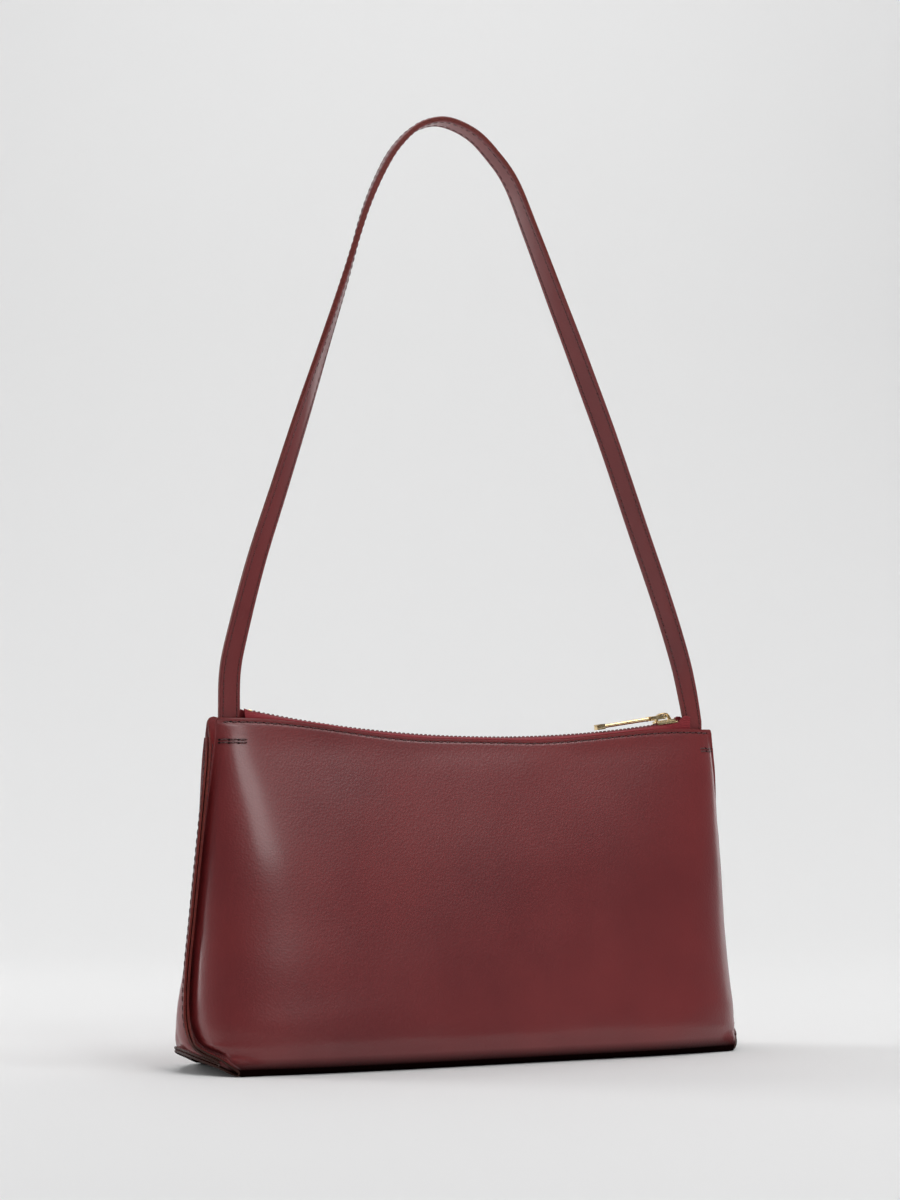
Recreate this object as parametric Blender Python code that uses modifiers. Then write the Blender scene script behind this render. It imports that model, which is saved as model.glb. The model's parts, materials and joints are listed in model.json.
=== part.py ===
"""Small leather shoulder bag with a curved zip mouth and one narrow twisted strap.

Metres, +Z up. The front faces -Y, the closed zip slider sits at the +X end.
The origin is under the middle of the bag, on the surface that it stands on.

The body is one leather sheet that wraps from the front top edge, under the base, up to
the back top edge. Each end of the sheet is sewn to a gusset, and the two raw edges stand
out as a flange. The seam line between them is described once, in the share tables below,
and every sheet, lining and tape of the body is worked out from it.
"""
import math

import bmesh
import bpy
import numpy as np
from mathutils import Matrix

# Body sizes
BODY_HEIGHT = 0.1625
SEAM_WIDTH = 0.300
BASE_DEPTH = 0.088
LEATHER = 0.0011
CLEARANCE = 0.0003
FLANGE = 0.0036
GROOVE = 0.0022

# Lining and stiffening
FACING = 0.0009
BOARD = 0.0012
LINING = 0.0005

# Zip sizes
ZIP_SHORT = 0.00895
TOOTH_STAND = 0.0009
TAPE = 0.0006
TAPE_LIFT = 0.0009
TOOTH_PITCH = 0.0024
TOOTH_WIDTH = 0.0010
TOOTH_TIP = 0.0006
TOOTH_ROOT = 0.0012
SPINE = 0.0007
CHAIN_THICK = 0.0020
ROW_SPREAD = 0.0016
STOP_LENGTH = 0.0022

# Slider and puller sizes
SLIDER_BACK = 0.0070
SLIDER_LENGTH = 0.0112
SLIDER_PLATE = 0.0011
MOUTH_HALF = 0.0045
TAIL_HALF = 0.0029
RIM = 0.0006
BAIL_LENGTH = 0.0088
BAIL_RISE = 0.0038
BAIL_WIDTH = 0.0022
BAIL_SQUARENESS = 0.6
BAIL_HOLE = 0.0042
BAIL_HOLE_RISE = 0.0022
PIVOT_PIN = 0.0006
PULLER_REACH = 0.0410
PULLER_ARM = 0.0009
COLLAR_FROM = 0.0054
COLLAR_LENGTH = 0.0030
COLLAR_THICK = 0.0024
ROD_RADIUS = 0.00105
FERRULE_LENGTH = 0.0048
FERRULE_WIDTH = 0.0030
FERRULE_THICK = 0.0026
PULLER_DIP = math.radians(0.35)

# Outlines of half the slider: places along it as shares of its half length, then the widths
# as shares of its tail or mouth, of the rows' spread, of the wedge and of the tail
PLATE_OUTLINE_SHARES = ((-1, 0.8), (-0.85, 1.0), (-0.2, 1.12), (0.5, 1.0), (0.85, 1.0), (1, 0.85))
LANE_OUTER_SHARES = ((-1.5, 0), (-0.4, 0), (0.35, 1), (1.5, 1))
LANE_INNER_SHARES = ((1.5, 0.6), (0.6, 0.6), (0.25, 0))
WEDGE_OUTLINE_SHARES = ((0.3, 0.2), (0.6, 0.95), (0.9, 0.95))
UNDERPLATE_SHARES = ((-0.9, 0.55), (0.2, 0.75), (0.9, 0.95))

# Strap sizes
STRAP_WIDTH = 0.0100
STRAP_LAYER = 0.00125
STRAP_APEX = 0.4665
HINGE_RISE = 0.0040
TAB_DEPTH = 0.0185

# Bar tacks
TACK_LENGTH = 0.0125
TACK_RISE = 0.0006

HALF_SEAM = SEAM_WIDTH / 2
HALF_DEPTH = BASE_DEPTH / 2

# The seam between the sheet and the left gusset, from the top corner down the side, round
# the front corner of the base and back to the middle of the base's end
SEAM_HEIGHT_SHARES = (1.0, 0.941, 0.862, 0.738, 0.585, 0.431, 0.308, 0.203, 0.132, 0.083,
                      0.0615, 0.049, 0.041, 0.0277, 0.0166, 0.0215, 0.038, 0.055, 0.0634)
SEAM_WIDTH_SHARES = (0.917, 0.925, 0.937, 0.954, 0.973, 0.990, 1.004, 1.013, 1.012, 0.998,
                     0.976, 0.949, 0.920, 0.904, 0.919, 0.945, 0.979, 1.000, 1.005)
SEAM_DEPTH_SHARES = (0.027, 0.039, 0.055, 0.068, 0.077, 0.086, 0.095, 0.123, 0.182, 0.284,
                     0.432, 0.602, 0.750, 0.823, 0.750, 0.602, 0.386, 0.182, 0.0)

# The sheet's own line down the middle of the front and under the base, at the same rows
MIDDLE_HEIGHT_SHARES = (0.951, 0.908, 0.840, 0.726, 0.591, 0.452, 0.332, 0.231, 0.151, 0.095,
                        0.0615, 0.038, 0.021, 0.0092, 0.0025, 0.0, 0.0, 0.0, 0.0)
MIDDLE_DEPTH_SHARES = (0.148, 0.189, 0.261, 0.386, 0.541, 0.686, 0.807, 0.900, 0.968, 1.0,
                       0.991, 0.959, 0.909, 0.841, 0.761, 0.659, 0.432, 0.216, 0.0)

# At the same rows: the flange's heading from sideways toward forward, in degrees, the turn
# of the groove beside it, how square and how round the sheet's plan is toward its ends, the
# flange's width, and how far out the sheet keeps its middle height
FLANGE_HEADING = (0, 40, 60, 70, 78, 80, 80, 80, 75, 65, 45, 30, 25, 28, 20, 8, 2, 0, 0)
GROOVE_TURN = (2, 60, 120, 150, 172, 175, 175, 175, 175, 165, 150, 120, 90, 45, 10, 2, 2, 2, 2)
PLAN_POWER = (14, 11, 9, 7.5, 6.5, 6, 6, 6, 6, 5.5, 5, 4.5, 4, 3.5, 3.5, 3, 3, 3, 3)
PLAN_ROUND = (1, 1.4, 1.8, 2, 2.1, 2.1, 2.1, 2.1, 2.1, 2.1, 2, 1.8, 1.5, 1.2, 1, 1, 1, 1, 1)
FLANGE_SHARES = (1, 1, 1, 1, 1, 1, 1, 1, 1, 1, 0.95, 0.7, 0.35, 0.2, 0.35, 0.7, 0.95, 1, 1)
LIFT_AT_ENDS = (0, 0, 0, 0, 0, 0, 0, 0.2, 0.6, 1, 1, 1, 1, 1, 1, 1, 1, 1, 1)

# The soft body leans a little: at the same rows, the reach and the flange's width on the
# right side and on the back side, as shares of those at the front's left end
RIGHT_SHARES = (0.995, 0.990, 0.984, 0.975, 0.966, 0.957, 0.949, 0.944, 0.942, 0.938, 0.938,
                0.943, 0.948, 0.950, 0.948, 0.950, 0.962, 0.982, 1)
BACK_SHARES = (1, 0.999, 0.990, 0.976, 0.966, 0.961, 0.960, 0.963, 0.968, 0.973, 0.977,
               0.978, 0.978, 0.977, 0.975, 0.975, 0.978, 0.987, 1)
RIGHT_FLANGE_SHARES = (1, 1, 0.9, 0.6, 0.6, 0.6, 0.6, 0.6, 0.5, 0.4, 0.4, 0.5, 1, 1, 1, 1, 1, 1, 1)
BACK_FLANGE_SHARES = (0.5, 0.6, 0.7, 0.8, 0.9, 1, 1, 1, 1, 1, 1, 1, 1, 1, 1, 1, 1, 1, 1)

# On the right side the flange stays flat in the sheet's plane further down from the top
RIGHT_FLAT_FROM = (0, 1, 5, 18)
RIGHT_FLAT_TO = (0, 0.7, 5, 18)

# The middle line of a gusset, at the rows from its top to its lowest free row
GUSSET_HEIGHT_SHARES = (0.941, 0.862, 0.738, 0.585, 0.431, 0.314, 0.222, 0.172, 0.138, 0.110,
                        0.085)
GUSSET_WIDTH_SHARES = (0.926, 0.938, 0.952, 0.968, 0.986, 1.008, 1.026, 1.0325, 1.0325, 1.031,
                       1.026)

# How the sheet's height goes from the middle to its ends: the share of the way where the
# rise starts, the share that it takes, and the power of the lift at the base corners
RISE_FROM_SHARE = 0.18
RISE_SPAN_SHARE = 0.72
LIFT_POWER = 5
SAG_POWER = 1.5

# Row numbers and row steps: where the facings, the board, the lining and the tacks lie
FACING_ROWS = (0.4, 1.0, 1.6, 2.2)
TAPE_ROWS = (0.12, 0.45, 0.8)
LINING_STOP = 0.06
TACK_ROW = 1.12
TACK_HALF_ROWS = 0.05
TACK_STOP_SHARE = 0.972
TAPE_BEND_SHARE = 0.6
FACING_SHARE = 0.90
LINING_SHARE = 0.94
BOARD_SHARE = 0.84
FOLD_SHARE = 0.9

# The zip ends a little short of the strap's sewn ends, and its tooth line hangs in an arc
# that rises with the body's own dip
ZIP_ARC_SHARE = 5.0556
STRAP_PLACE_SHARE = 0.8630
STRAP_BASE_AT = STRAP_PLACE_SHARE * HALF_SEAM
ZIP_HALF = STRAP_BASE_AT - ZIP_SHORT
ZIP_RADIUS = ZIP_ARC_SHARE * HALF_SEAM ** 2 / BODY_HEIGHT
ZIP_LOW = MIDDLE_HEIGHT_SHARES[0] * BODY_HEIGHT + TOOTH_STAND
SLIDER_AT = ZIP_HALF - SLIDER_BACK

# Column places across the sheet, from the middle to the groove
COLUMN_SHARES = (0.0, 0.2, 0.4, 0.58, 0.73, 0.84, 0.92, 0.965, 0.99, 1.0)

LAST_ROW = len(SEAM_HEIGHT_SHARES) - 1
CORNER_ROW = 11
BASE_FIRST_ROW = 15

# The strap's middle line seen from the front: heights as shares of the way from the hinge
# to the apex, and sideways places as shares of half the distance between the sewn ends
STRAP_HEIGHT_SHARES = (0.0, 0.06, 0.118, 0.236, 0.355, 0.475, 0.594, 0.713, 0.832, 0.912,
                       0.957, 0.987)
STRAP_LEFT_SHARES = (-1.0, -0.992, -0.967, -0.896, -0.806, -0.715, -0.626, -0.530, -0.433,
                     -0.357, -0.296, -0.223)
STRAP_RIGHT_SHARES = (1.0, 0.981, 0.949, 0.853, 0.744, 0.630, 0.510, 0.388, 0.264, 0.169,
                      0.084, 0.0)
STRAP_APEX_SHARE = -0.1195
STRAP_TWIST = (0, 0, 0, 6, 18, 31, 47, 60, 72, 80, 84, 87)


def collection(name, hidden):
    """A new collection in the scene. The cutters' one is hidden in renders."""
    made = bpy.data.collections.new(name)
    bpy.context.scene.collection.children.link(made)
    made.hide_render = hidden
    return made


def material(name, color, roughness, metallic=0.0):
    """A plain Principled material."""
    made = bpy.data.materials.new(name)
    made.use_nodes = True
    shader = made.node_tree.nodes["Principled BSDF"]
    shader.inputs["Base Color"].default_value = (*color, 1.0)
    shader.inputs["Roughness"].default_value = roughness
    shader.inputs["Metallic"].default_value = metallic
    return made


def add_object(name, mesh, surface, into):
    """Wraps a mesh in a named object with one material."""
    made = bpy.data.objects.new(name, mesh)
    if surface is not None:
        mesh.materials.append(surface)
    into.objects.link(made)
    return made


def smooth_at(table, at):
    """A value of a row table between its rows, on a Catmull-Rom curve."""
    last = len(table) - 1
    row = min(int(at), last - 1)
    local = at - row
    before = table[max(row - 1, 0)]
    start = table[row]
    end = table[row + 1]
    after = table[min(row + 2, last)]
    slope_in = (end - before) / 2
    slope_out = (after - start) / 2
    curve = 2 * (start - end) + slope_in + slope_out
    bend = 3 * (end - start) - 2 * slope_in - slope_out
    return ((curve * local + bend) * local + slope_in) * local + start


def linear_at(table, at):
    """A value of a row table between its rows, on straight lines."""
    return float(np.interp(at, range(len(table)), table))


def unit(vector):
    return vector / np.linalg.norm(vector)


def smooth_step(value):
    kept = min(max(value, 0.0), 1.0)
    return kept * kept * (3 - 2 * kept)


def seam_point(at):
    """A point of the left front seam. The row number runs on past the base's middle."""
    return np.array([-smooth_at(SEAM_WIDTH_SHARES, at) * HALF_SEAM,
                     -smooth_at(SEAM_DEPTH_SHARES, at) * HALF_DEPTH,
                     smooth_at(SEAM_HEIGHT_SHARES, at) * BODY_HEIGHT])


def flange_row(at, right):
    """The row at which the flange's tables are read."""
    return float(np.interp(at, RIGHT_FLAT_FROM, RIGHT_FLAT_TO)) if right else at


def side_scale(at, right, behind):
    """How far a row reaches to one side, as a share of its reach at the front's left end."""
    scale = smooth_at(RIGHT_SHARES, at) if right else 1.0
    return scale * smooth_at(BACK_SHARES, at) if behind else scale


def flange_width(at, right, behind):
    """The flange's width at a row of one of the four side seams."""
    width = FLANGE * linear_at(FLANGE_SHARES, at)
    if right:
        width *= linear_at(RIGHT_FLANGE_SHARES, at)
    return width * linear_at(BACK_FLANGE_SHARES, at) if behind else width


def seam_frame(at, right=False):
    """The seam point, the way the flange stands out, and the sheet's side of the seam."""
    step = 0.02
    ahead = min(at + step, LAST_ROW)
    before = max(at - step, 0)
    along = unit(seam_point(ahead) - seam_point(before))
    turn = math.radians(linear_at(FLANGE_HEADING, flange_row(at, right)))
    hint = np.array([-math.cos(turn), -math.sin(turn), 0.0])
    outward = unit(hint - hint.dot(along) * along)
    return seam_point(at), outward, np.cross(outward, along)


def flange_points(at, right=False, behind=False):
    """The sheet's outer side from the flange's raw edge, round the groove, to the face."""
    seam, outward, side = seam_frame(at, right)
    root = seam + side * (CLEARANCE / 2 + LEATHER)
    points = [root + outward * flange_width(at, right, behind)]
    turn = math.radians(linear_at(GROOVE_TURN, flange_row(at, right)))
    reach = GROOVE / turn
    for share in (0, 1 / 3, 2 / 3, 1):
        angle = turn * share
        inward = reach * math.sin(angle)
        aside = reach * (1 - math.cos(angle))
        points.append(root - outward * inward + side * aside)
    return points


def face_point(at, share, right=False):
    """The sheet's outer side between its middle line (0) and the groove (1)."""
    end = flange_points(at, right)[-1]
    middle_depth = smooth_at(MIDDLE_DEPTH_SHARES, at) * HALF_DEPTH
    middle_height = smooth_at(MIDDLE_HEIGHT_SHARES, at) * BODY_HEIGHT
    power = linear_at(PLAN_POWER, at)
    roundness = linear_at(PLAN_ROUND, at)
    fullness = max(1 - share ** power, 0.0) ** (1 / roundness)
    lift = linear_at(LIFT_AT_ENDS, at)
    step = smooth_step((share - RISE_FROM_SHARE) / RISE_SPAN_SHARE)
    rise = (1 - lift) * step + lift * share ** LIFT_POWER
    return np.array([end[0] * share,
                     end[1] - (middle_depth + end[1]) * fullness,
                     middle_height + (end[2] - middle_height) * rise])


def sheet_point(at, share):
    """The sheet's outer side anywhere: rows 0 to twice LAST_ROW, shares from -1 to 1."""
    behind = at > LAST_ROW
    row = 2 * LAST_ROW - at if behind else at
    point = face_point(row, abs(share), share > 0)
    point[0] *= side_scale(row, share > 0, behind)
    if share > 0:
        point[0] = -point[0]
    if behind:
        point[1] = -point[1]
    return point


def sheet_normal(at, share):
    """The outward direction of the sheet there."""
    step_row = 0.05
    step_share = 0.004
    low = max(at - step_row, 0.0)
    high = min(at + step_row, 2 * LAST_ROW)
    down = sheet_point(high, share) - sheet_point(low, share)
    right = sheet_point(at, min(share + step_share, 1))
    left = sheet_point(at, max(share - step_share, -1))
    return unit(np.cross(down, right - left))


def inside_point(at, share, depth):
    """A point at a depth under the sheet's outer side."""
    return sheet_point(at, share) - sheet_normal(at, share) * depth


def grid_normals(grid):
    """Unit normals of a grid of points, by differences between neighbours."""
    down = np.gradient(grid, axis=0)
    across = np.gradient(grid, axis=1)
    down /= np.linalg.norm(down, axis=2, keepdims=True)
    across /= np.linalg.norm(across, axis=2, keepdims=True)
    normals = np.cross(down, across)
    return normals / np.linalg.norm(normals, axis=2, keepdims=True)


def shell_mesh(name, outer, inner):
    """A closed solid between two grids of points of the same size."""
    rows, columns = outer.shape[:2]
    made = bmesh.new()
    layers = []
    for grid in (outer, inner):
        layers.append([[made.verts.new(tuple(point)) for point in line] for line in grid])
    top, bottom = layers
    for r in range(rows - 1):
        for c in range(columns - 1):
            made.faces.new((top[r][c], top[r + 1][c], top[r + 1][c + 1], top[r][c + 1]))
            made.faces.new((bottom[r][c], bottom[r][c + 1], bottom[r + 1][c + 1], bottom[r + 1][c]))
    for r in range(rows - 1):
        made.faces.new((top[r][0], bottom[r][0], bottom[r + 1][0], top[r + 1][0]))
        made.faces.new((top[r][-1], top[r + 1][-1], bottom[r + 1][-1], bottom[r][-1]))
    for c in range(columns - 1):
        made.faces.new((top[0][c], top[0][c + 1], bottom[0][c + 1], bottom[0][c]))
        made.faces.new((top[-1][c], bottom[-1][c], bottom[-1][c + 1], top[-1][c + 1]))
    bmesh.ops.recalc_face_normals(made, faces=made.faces)
    mesh = bpy.data.meshes.new(name)
    made.to_mesh(mesh)
    made.free()
    return mesh


def mirror_points(grid, axis):
    """A grid mirrored in the plane across one axis, with its columns turned round."""
    flipped = grid[:, ::-1].copy()
    flipped[:, :, axis] *= -1
    return flipped


def patch(name, surface, into, rows, shares, near, far):
    """A solid that follows the sheet between two depths under its outer side."""
    outer = np.array([[inside_point(r, s, near) for s in shares] for r in rows])
    inner = np.array([[inside_point(r, s, far) for s in shares] for r in rows])
    return add_object(name, shell_mesh(name, outer, inner), surface, into)


def spread_shares(limit, count):
    """Evenly placed column shares from one side to the other."""
    return np.linspace(-limit, limit, count)


def behind_rows(rows):
    """The same rows on the back half of the sheet, in rising order."""
    return [2 * LAST_ROW - row for row in reversed(rows)]


def body_sheet(surface, into):
    """The wrapped leather sheet with its flanges."""
    rows = list(range(2 * LAST_ROW + 1))
    lines = []
    for row in rows:
        behind = row > LAST_ROW
        at = 2 * LAST_ROW - row if behind else row
        ends = []
        for right in (False, True):
            end = flange_points(at, right, behind)[:-1]
            end += [face_point(at, share, right) for share in reversed(COLUMN_SHARES)]
            ends.append(np.array(end) * (side_scale(at, right, behind), -1 if behind else 1, 1))
        left, right = ends
        lines.append(np.vstack([left, right[-2::-1] * (-1, 1, 1)]))
    outer = np.array(lines)
    inner = outer - grid_normals(outer) * LEATHER
    return add_object("body_panel", shell_mesh("body_panel", outer, inner), surface, into)


def round_the_base(right, share):
    """A line along the base's end seam, from front to back, at a share of the flange out."""
    halves = []
    for behind in (False, True):
        half = []
        for at in np.linspace(BASE_FIRST_ROW, LAST_ROW, 7):
            seam, outward, _ = seam_frame(at, right)
            point = seam + outward * flange_width(at, right, behind) * share
            half.append(point * (side_scale(at, right, behind), -1 if behind else 1, 1))
        halves.append(half)
    front, back = halves
    return front + back[-2::-1]


def gusset_grid(right):
    """A gusset's seam-level surface, from its top to the base's end seam, drawn at the left."""
    base_line = round_the_base(right, 0.0)
    reach = abs(base_line[0][1])
    places = [point[1] / reach for point in base_line]
    lines = []
    for row in range(1, CORNER_ROW + 1):
        seam, outward, _ = seam_frame(row, right)
        front_scale = side_scale(row, right, False)
        back_scale = side_scale(row, right, True)
        tip = seam + outward * flange_width(row, right, False)
        line = [tip * np.array([front_scale, 1, 1])]
        middle_x = -GUSSET_WIDTH_SHARES[row - 1] * HALF_SEAM
        middle_z = GUSSET_HEIGHT_SHARES[row - 1] * BODY_HEIGHT
        for place in places:
            x = seam[0] + (middle_x - seam[0]) * (1 - place ** 2)
            z = seam[2] + (middle_z - seam[2]) * (1 - abs(place)) ** SAG_POWER
            scale = front_scale + (back_scale - front_scale) * (place + 1) / 2
            line.append(np.array([x * scale, seam[1] * -place, z]))
        tip = seam + outward * flange_width(row, right, True)
        line.append(tip * np.array([back_scale, -1, 1]))
        lines.append(line)
    fold_line = round_the_base(right, FOLD_SHARE)
    edge = round_the_base(right, 1.0)
    away = np.array([0, CLEARANCE * 3, 0])
    lines.append([fold_line[0] - away] + base_line + [fold_line[-1] + away])
    lines.append([edge[0] - away] + edge + [edge[-1] + away])
    return np.array(lines)


def gussets(surface, into):
    """The two trumpet-shaped ends, each with its own half of the flange."""
    for name, right in (("gusset_left", False), ("gusset_right", True)):
        grid = gusset_grid(right)
        normals = -grid_normals(grid)
        inner = grid + normals * CLEARANCE
        outer = grid + normals * (CLEARANCE + LEATHER)
        if right:
            outer, inner = mirror_points(outer, 0), mirror_points(inner, 0)
        add_object(name, shell_mesh(name, outer, inner), surface, into)


def inner_layers(facing_surface, lining_surface, board_surface, into):
    """Top facings, lining halves and the base board."""
    tape_room = LEATHER + CLEARANCE + TAPE + CLEARANCE
    lining_near = LEATHER + BOARD + 3 * CLEARANCE
    lining_rows = (2.4, 4, 6, 8, 9.5, 11, 12, 13, 14, 15, 16.5, LAST_ROW - LINING_STOP)
    wide = spread_shares(FACING_SHARE, 13)
    lined = spread_shares(LINING_SHARE, 13)
    for side, turned in (("front", False), ("back", True)):
        rows = behind_rows(FACING_ROWS) if turned else FACING_ROWS
        under = behind_rows(lining_rows) if turned else lining_rows
        patch(f"facing_{side}", facing_surface, into, rows, wide, tape_room, tape_room + FACING)
        patch(f"lining_{side}", lining_surface, into, under, lined, lining_near, lining_near + LINING)
    board_rows = np.linspace(BASE_FIRST_ROW, 2 * LAST_ROW - BASE_FIRST_ROW, 9)
    near = LEATHER + CLEARANCE
    shares = spread_shares(BOARD_SHARE, 13)
    patch("base_board", board_surface, into, board_rows, shares, near, near + BOARD)


def bar_tacks(surface, into):
    """Short bars of thread across the body, level with the sewn strap ends."""
    half_share = TACK_LENGTH / SEAM_WIDTH
    for side, turned in (("front", False), ("back", True)):
        rows = (TACK_ROW - TACK_HALF_ROWS, TACK_ROW, TACK_ROW + TACK_HALF_ROWS)
        if turned:
            rows = behind_rows(rows)
        for hand, sign in (("left", -1), ("right", 1)):
            middle_share = STRAP_BASE_AT / abs(sheet_point(rows[1], sign)[0]) - half_share / 3
            middle_share = min(middle_share, TACK_STOP_SHARE - half_share)
            shares = [sign * middle_share + half_share * step for step in (-1, -0.5, 0, 0.5, 1)]
            name = f"bar_tack_{side}_{hand}"
            patch(name, surface, into, rows, shares, -CLEARANCE - TACK_RISE, -CLEARANCE)


def zip_height(x):
    """The height of the tooth line, which hangs in a shallow arc."""
    return ZIP_LOW + ZIP_RADIUS - math.sqrt(ZIP_RADIUS ** 2 - x ** 2)


def row_spread(x):
    """How far a tooth row stands off the middle line, where the slider parts them."""
    tail = SLIDER_AT - SLIDER_LENGTH / 5
    return ROW_SPREAD * smooth_step((x - tail) / (SLIDER_LENGTH / 2))


def zip_tapes(surface, into):
    """The two tapes, from the tooth rows over and down inside the body's top edge."""
    depth = LEATHER + CLEARANCE + TAPE / 2
    parting = SLIDER_AT - SLIDER_LENGTH / 2
    places = np.concatenate([np.linspace(-ZIP_HALF, parting, 22)[:-1],
                             np.linspace(parting, ZIP_HALF, 9)])
    for name, turned in (("zip_tape_front", False), ("zip_tape_back", True)):
        rows = behind_rows(TAPE_ROWS)[::-1] if turned else TAPE_ROWS
        top_row = 2 * LAST_ROW if turned else 0.0
        lines = []
        for x in places:
            share = x / abs(sheet_point(top_row, math.copysign(1, x))[0])
            edge_y = row_spread(x) + TOOTH_ROOT + SPINE + CLEARANCE
            edge = np.array([x, edge_y if turned else -edge_y, zip_height(x)])
            top = inside_point(top_row, share, depth) + np.array([0, 0, TAPE_LIFT])
            under = [inside_point(row, share, depth) for row in rows]
            between = edge + (top - edge) * TAPE_BEND_SHARE
            lines.append(np.array([edge, between, top] + under))
        grid = np.array(lines)
        normals = grid_normals(grid)
        outer = grid + normals * TAPE / 2
        inner = grid - normals * TAPE / 2
        add_object(name, shell_mesh(name, outer, inner), surface, into)


def comb_outline(shift):
    """Places along and across one tooth row: the teeth, then the bead that carries them."""
    count = int(2 * (ZIP_HALF - STOP_LENGTH) / TOOTH_PITCH) - 1
    first = -count * TOOTH_PITCH / 2 + shift
    teeth = []
    for index in range(count):
        start = first + index * TOOTH_PITCH
        end = start + TOOTH_WIDTH
        teeth += [(start, TOOTH_ROOT), (start, -TOOTH_TIP), (end, -TOOTH_TIP), (end, TOOTH_ROOT)]
    bead = [(end, TOOTH_ROOT + SPINE)]
    for step in range(1, count):
        bead.append((end + (first - end) * step / count, TOOTH_ROOT + SPINE))
    bead.append((first, TOOTH_ROOT + SPINE))
    return teeth + bead


def zip_teeth(surface, into):
    """Two combs of teeth that mesh, and part where the slider stands."""
    for name, sign, shift in (("zip_teeth_front", -1, -TOOTH_PITCH / 4 - TOOTH_WIDTH / 2),
                              ("zip_teeth_back", 1, TOOTH_PITCH / 4 - TOOTH_WIDTH / 2)):
        made = bmesh.new()
        loops = []
        for level in (-CHAIN_THICK / 2, CHAIN_THICK / 2):
            loop = []
            for x, y in comb_outline(shift):
                angle = math.asin(x / ZIP_RADIUS)
                radius = ZIP_RADIUS - level
                place = (radius * math.sin(angle), sign * (y + row_spread(x)),
                         ZIP_LOW + ZIP_RADIUS - radius * math.cos(angle))
                loop.append(made.verts.new(place))
            loops.append(loop)
        low, high = loops
        made.faces.new(low)
        made.faces.new(high)
        for index in range(len(low)):
            after = (index + 1) % len(low)
            made.faces.new((low[index], low[after], high[after], high[index]))
        bmesh.ops.recalc_face_normals(made, faces=made.faces)
        bmesh.ops.triangulate(made, faces=[face for face in made.faces if len(face.verts) > 4])
        mesh = bpy.data.meshes.new(name)
        made.to_mesh(mesh)
        made.free()
        add_object(name, mesh, surface, into)


def prism(name, outline, low, high, surface, into, upright=False):
    """A flat outline given a thickness: along Z, or along Y when upright."""
    made = bmesh.new()
    for level in (low, high):
        places = [(a, level, b) if upright else (a, b, level) for a, b in outline]
        made.faces.new([made.verts.new(place) for place in places])
    made.verts.ensure_lookup_table()
    count = len(outline)
    for index in range(count):
        after = (index + 1) % count
        made.faces.new([made.verts[k] for k in (index, after, count + after, count + index)])
    bmesh.ops.recalc_face_normals(made, faces=made.faces)
    mesh = bpy.data.meshes.new(name)
    made.to_mesh(mesh)
    made.free()
    return add_object(name, mesh, surface, into)


def combine(target, other, operation):
    """A Boolean between two closed solids."""
    step = target.modifiers.new(f"{operation} {other.name}", "BOOLEAN")
    step.operation = operation
    step.object = other
    step.solver = "EXACT"
    other.display_type = "WIRE"
    other.hide_render = True


def slider_frame(carrier):
    """Turns an empty on the zip's arc so that its local X runs along the tooth line."""
    angle = math.asin(SLIDER_AT / ZIP_RADIUS)
    carrier.location = (SLIDER_AT, 0, zip_height(SLIDER_AT))
    carrier.rotation_euler = (0, -angle, 0)


def mirrored(half):
    """A closed outline from its half at positive Y."""
    return half + [(a, -b) for a, b in reversed(half)]


def zip_slider(surface, into, cutters):
    """The slider: two plates joined by a wedge, with a bail over the top plate."""
    end = SLIDER_LENGTH / 2
    chain = CHAIN_THICK / 2 + CLEARANCE
    top = chain + SLIDER_PLATE
    half = [(end * along, (MOUTH_HALF if along > 0 else TAIL_HALF) * wide)
            for along, wide in PLATE_OUTLINE_SHARES]
    slider = prism("zip_slider", mirrored(half), chain - RIM, top, surface, into)
    room = TOOTH_ROOT + SPINE + CLEARANCE
    gap = ROW_SPREAD - TOOTH_TIP - CLEARANCE
    lane_half = [(end * along, room + ROW_SPREAD * apart) for along, apart in LANE_OUTER_SHARES]
    lane_half += [(end * along, CLEARANCE / 2 + gap * apart) for along, apart in LANE_INNER_SHARES]
    lane = prism("cut_lane", mirrored(lane_half), -top, chain, None, cutters)
    combine(slider, lane, "DIFFERENCE")
    wedge_half = [(end * along, gap * wide) for along, wide in WEDGE_OUTLINE_SHARES]
    wedge = prism("join_wedge", mirrored(wedge_half), -top + RIM, chain + RIM, None, cutters)
    combine(slider, wedge, "UNION")
    plate_half = [(end * along, TAIL_HALF * wide) for along, wide in UNDERPLATE_SHARES]
    plate = prism("join_plate", mirrored(plate_half), -top, -chain, None, cutters)
    combine(slider, plate, "UNION")
    foot = top - RIM / 2
    crown = BAIL_RISE + RIM / 2
    arch = []
    for step in range(13):
        angle = math.pi * step / 12
        wide = abs(math.cos(angle)) ** BAIL_SQUARENESS * math.copysign(1, math.cos(angle))
        arch.append((-BAIL_LENGTH / 2 * wide, foot + crown * math.sin(angle)))
    bail = prism("join_bail", arch, -BAIL_WIDTH / 2, BAIL_WIDTH / 2, None, cutters, upright=True)
    combine(slider, bail, "UNION")
    window_z = top + BAIL_RISE / 2 - RIM / 3
    outline = []
    for step in range(12):
        angle = 2 * math.pi * step / 12
        rise = BAIL_HOLE_RISE / 2 * math.sin(angle)
        outline.append((BAIL_HOLE / 2 * math.cos(angle), window_z + rise))
    window = prism("cut_window", outline, -BAIL_WIDTH, BAIL_WIDTH, None, cutters, upright=True)
    combine(slider, window, "DIFFERENCE")
    return slider, [lane, wedge, plate, bail, window], window_z


def box_between(name, low, high, surface, into):
    """A plain block between two corners."""
    mesh = bpy.data.meshes.new(name)
    made = bmesh.new()
    bmesh.ops.create_cube(made, size=1.0)
    size = np.subtract(high, low)
    middle = np.add(high, low) / 2
    for vertex in made.verts:
        vertex.co = [vertex.co[k] * size[k] + middle[k] for k in range(3)]
    made.to_mesh(mesh)
    made.free()
    return add_object(name, mesh, surface, into)


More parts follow.
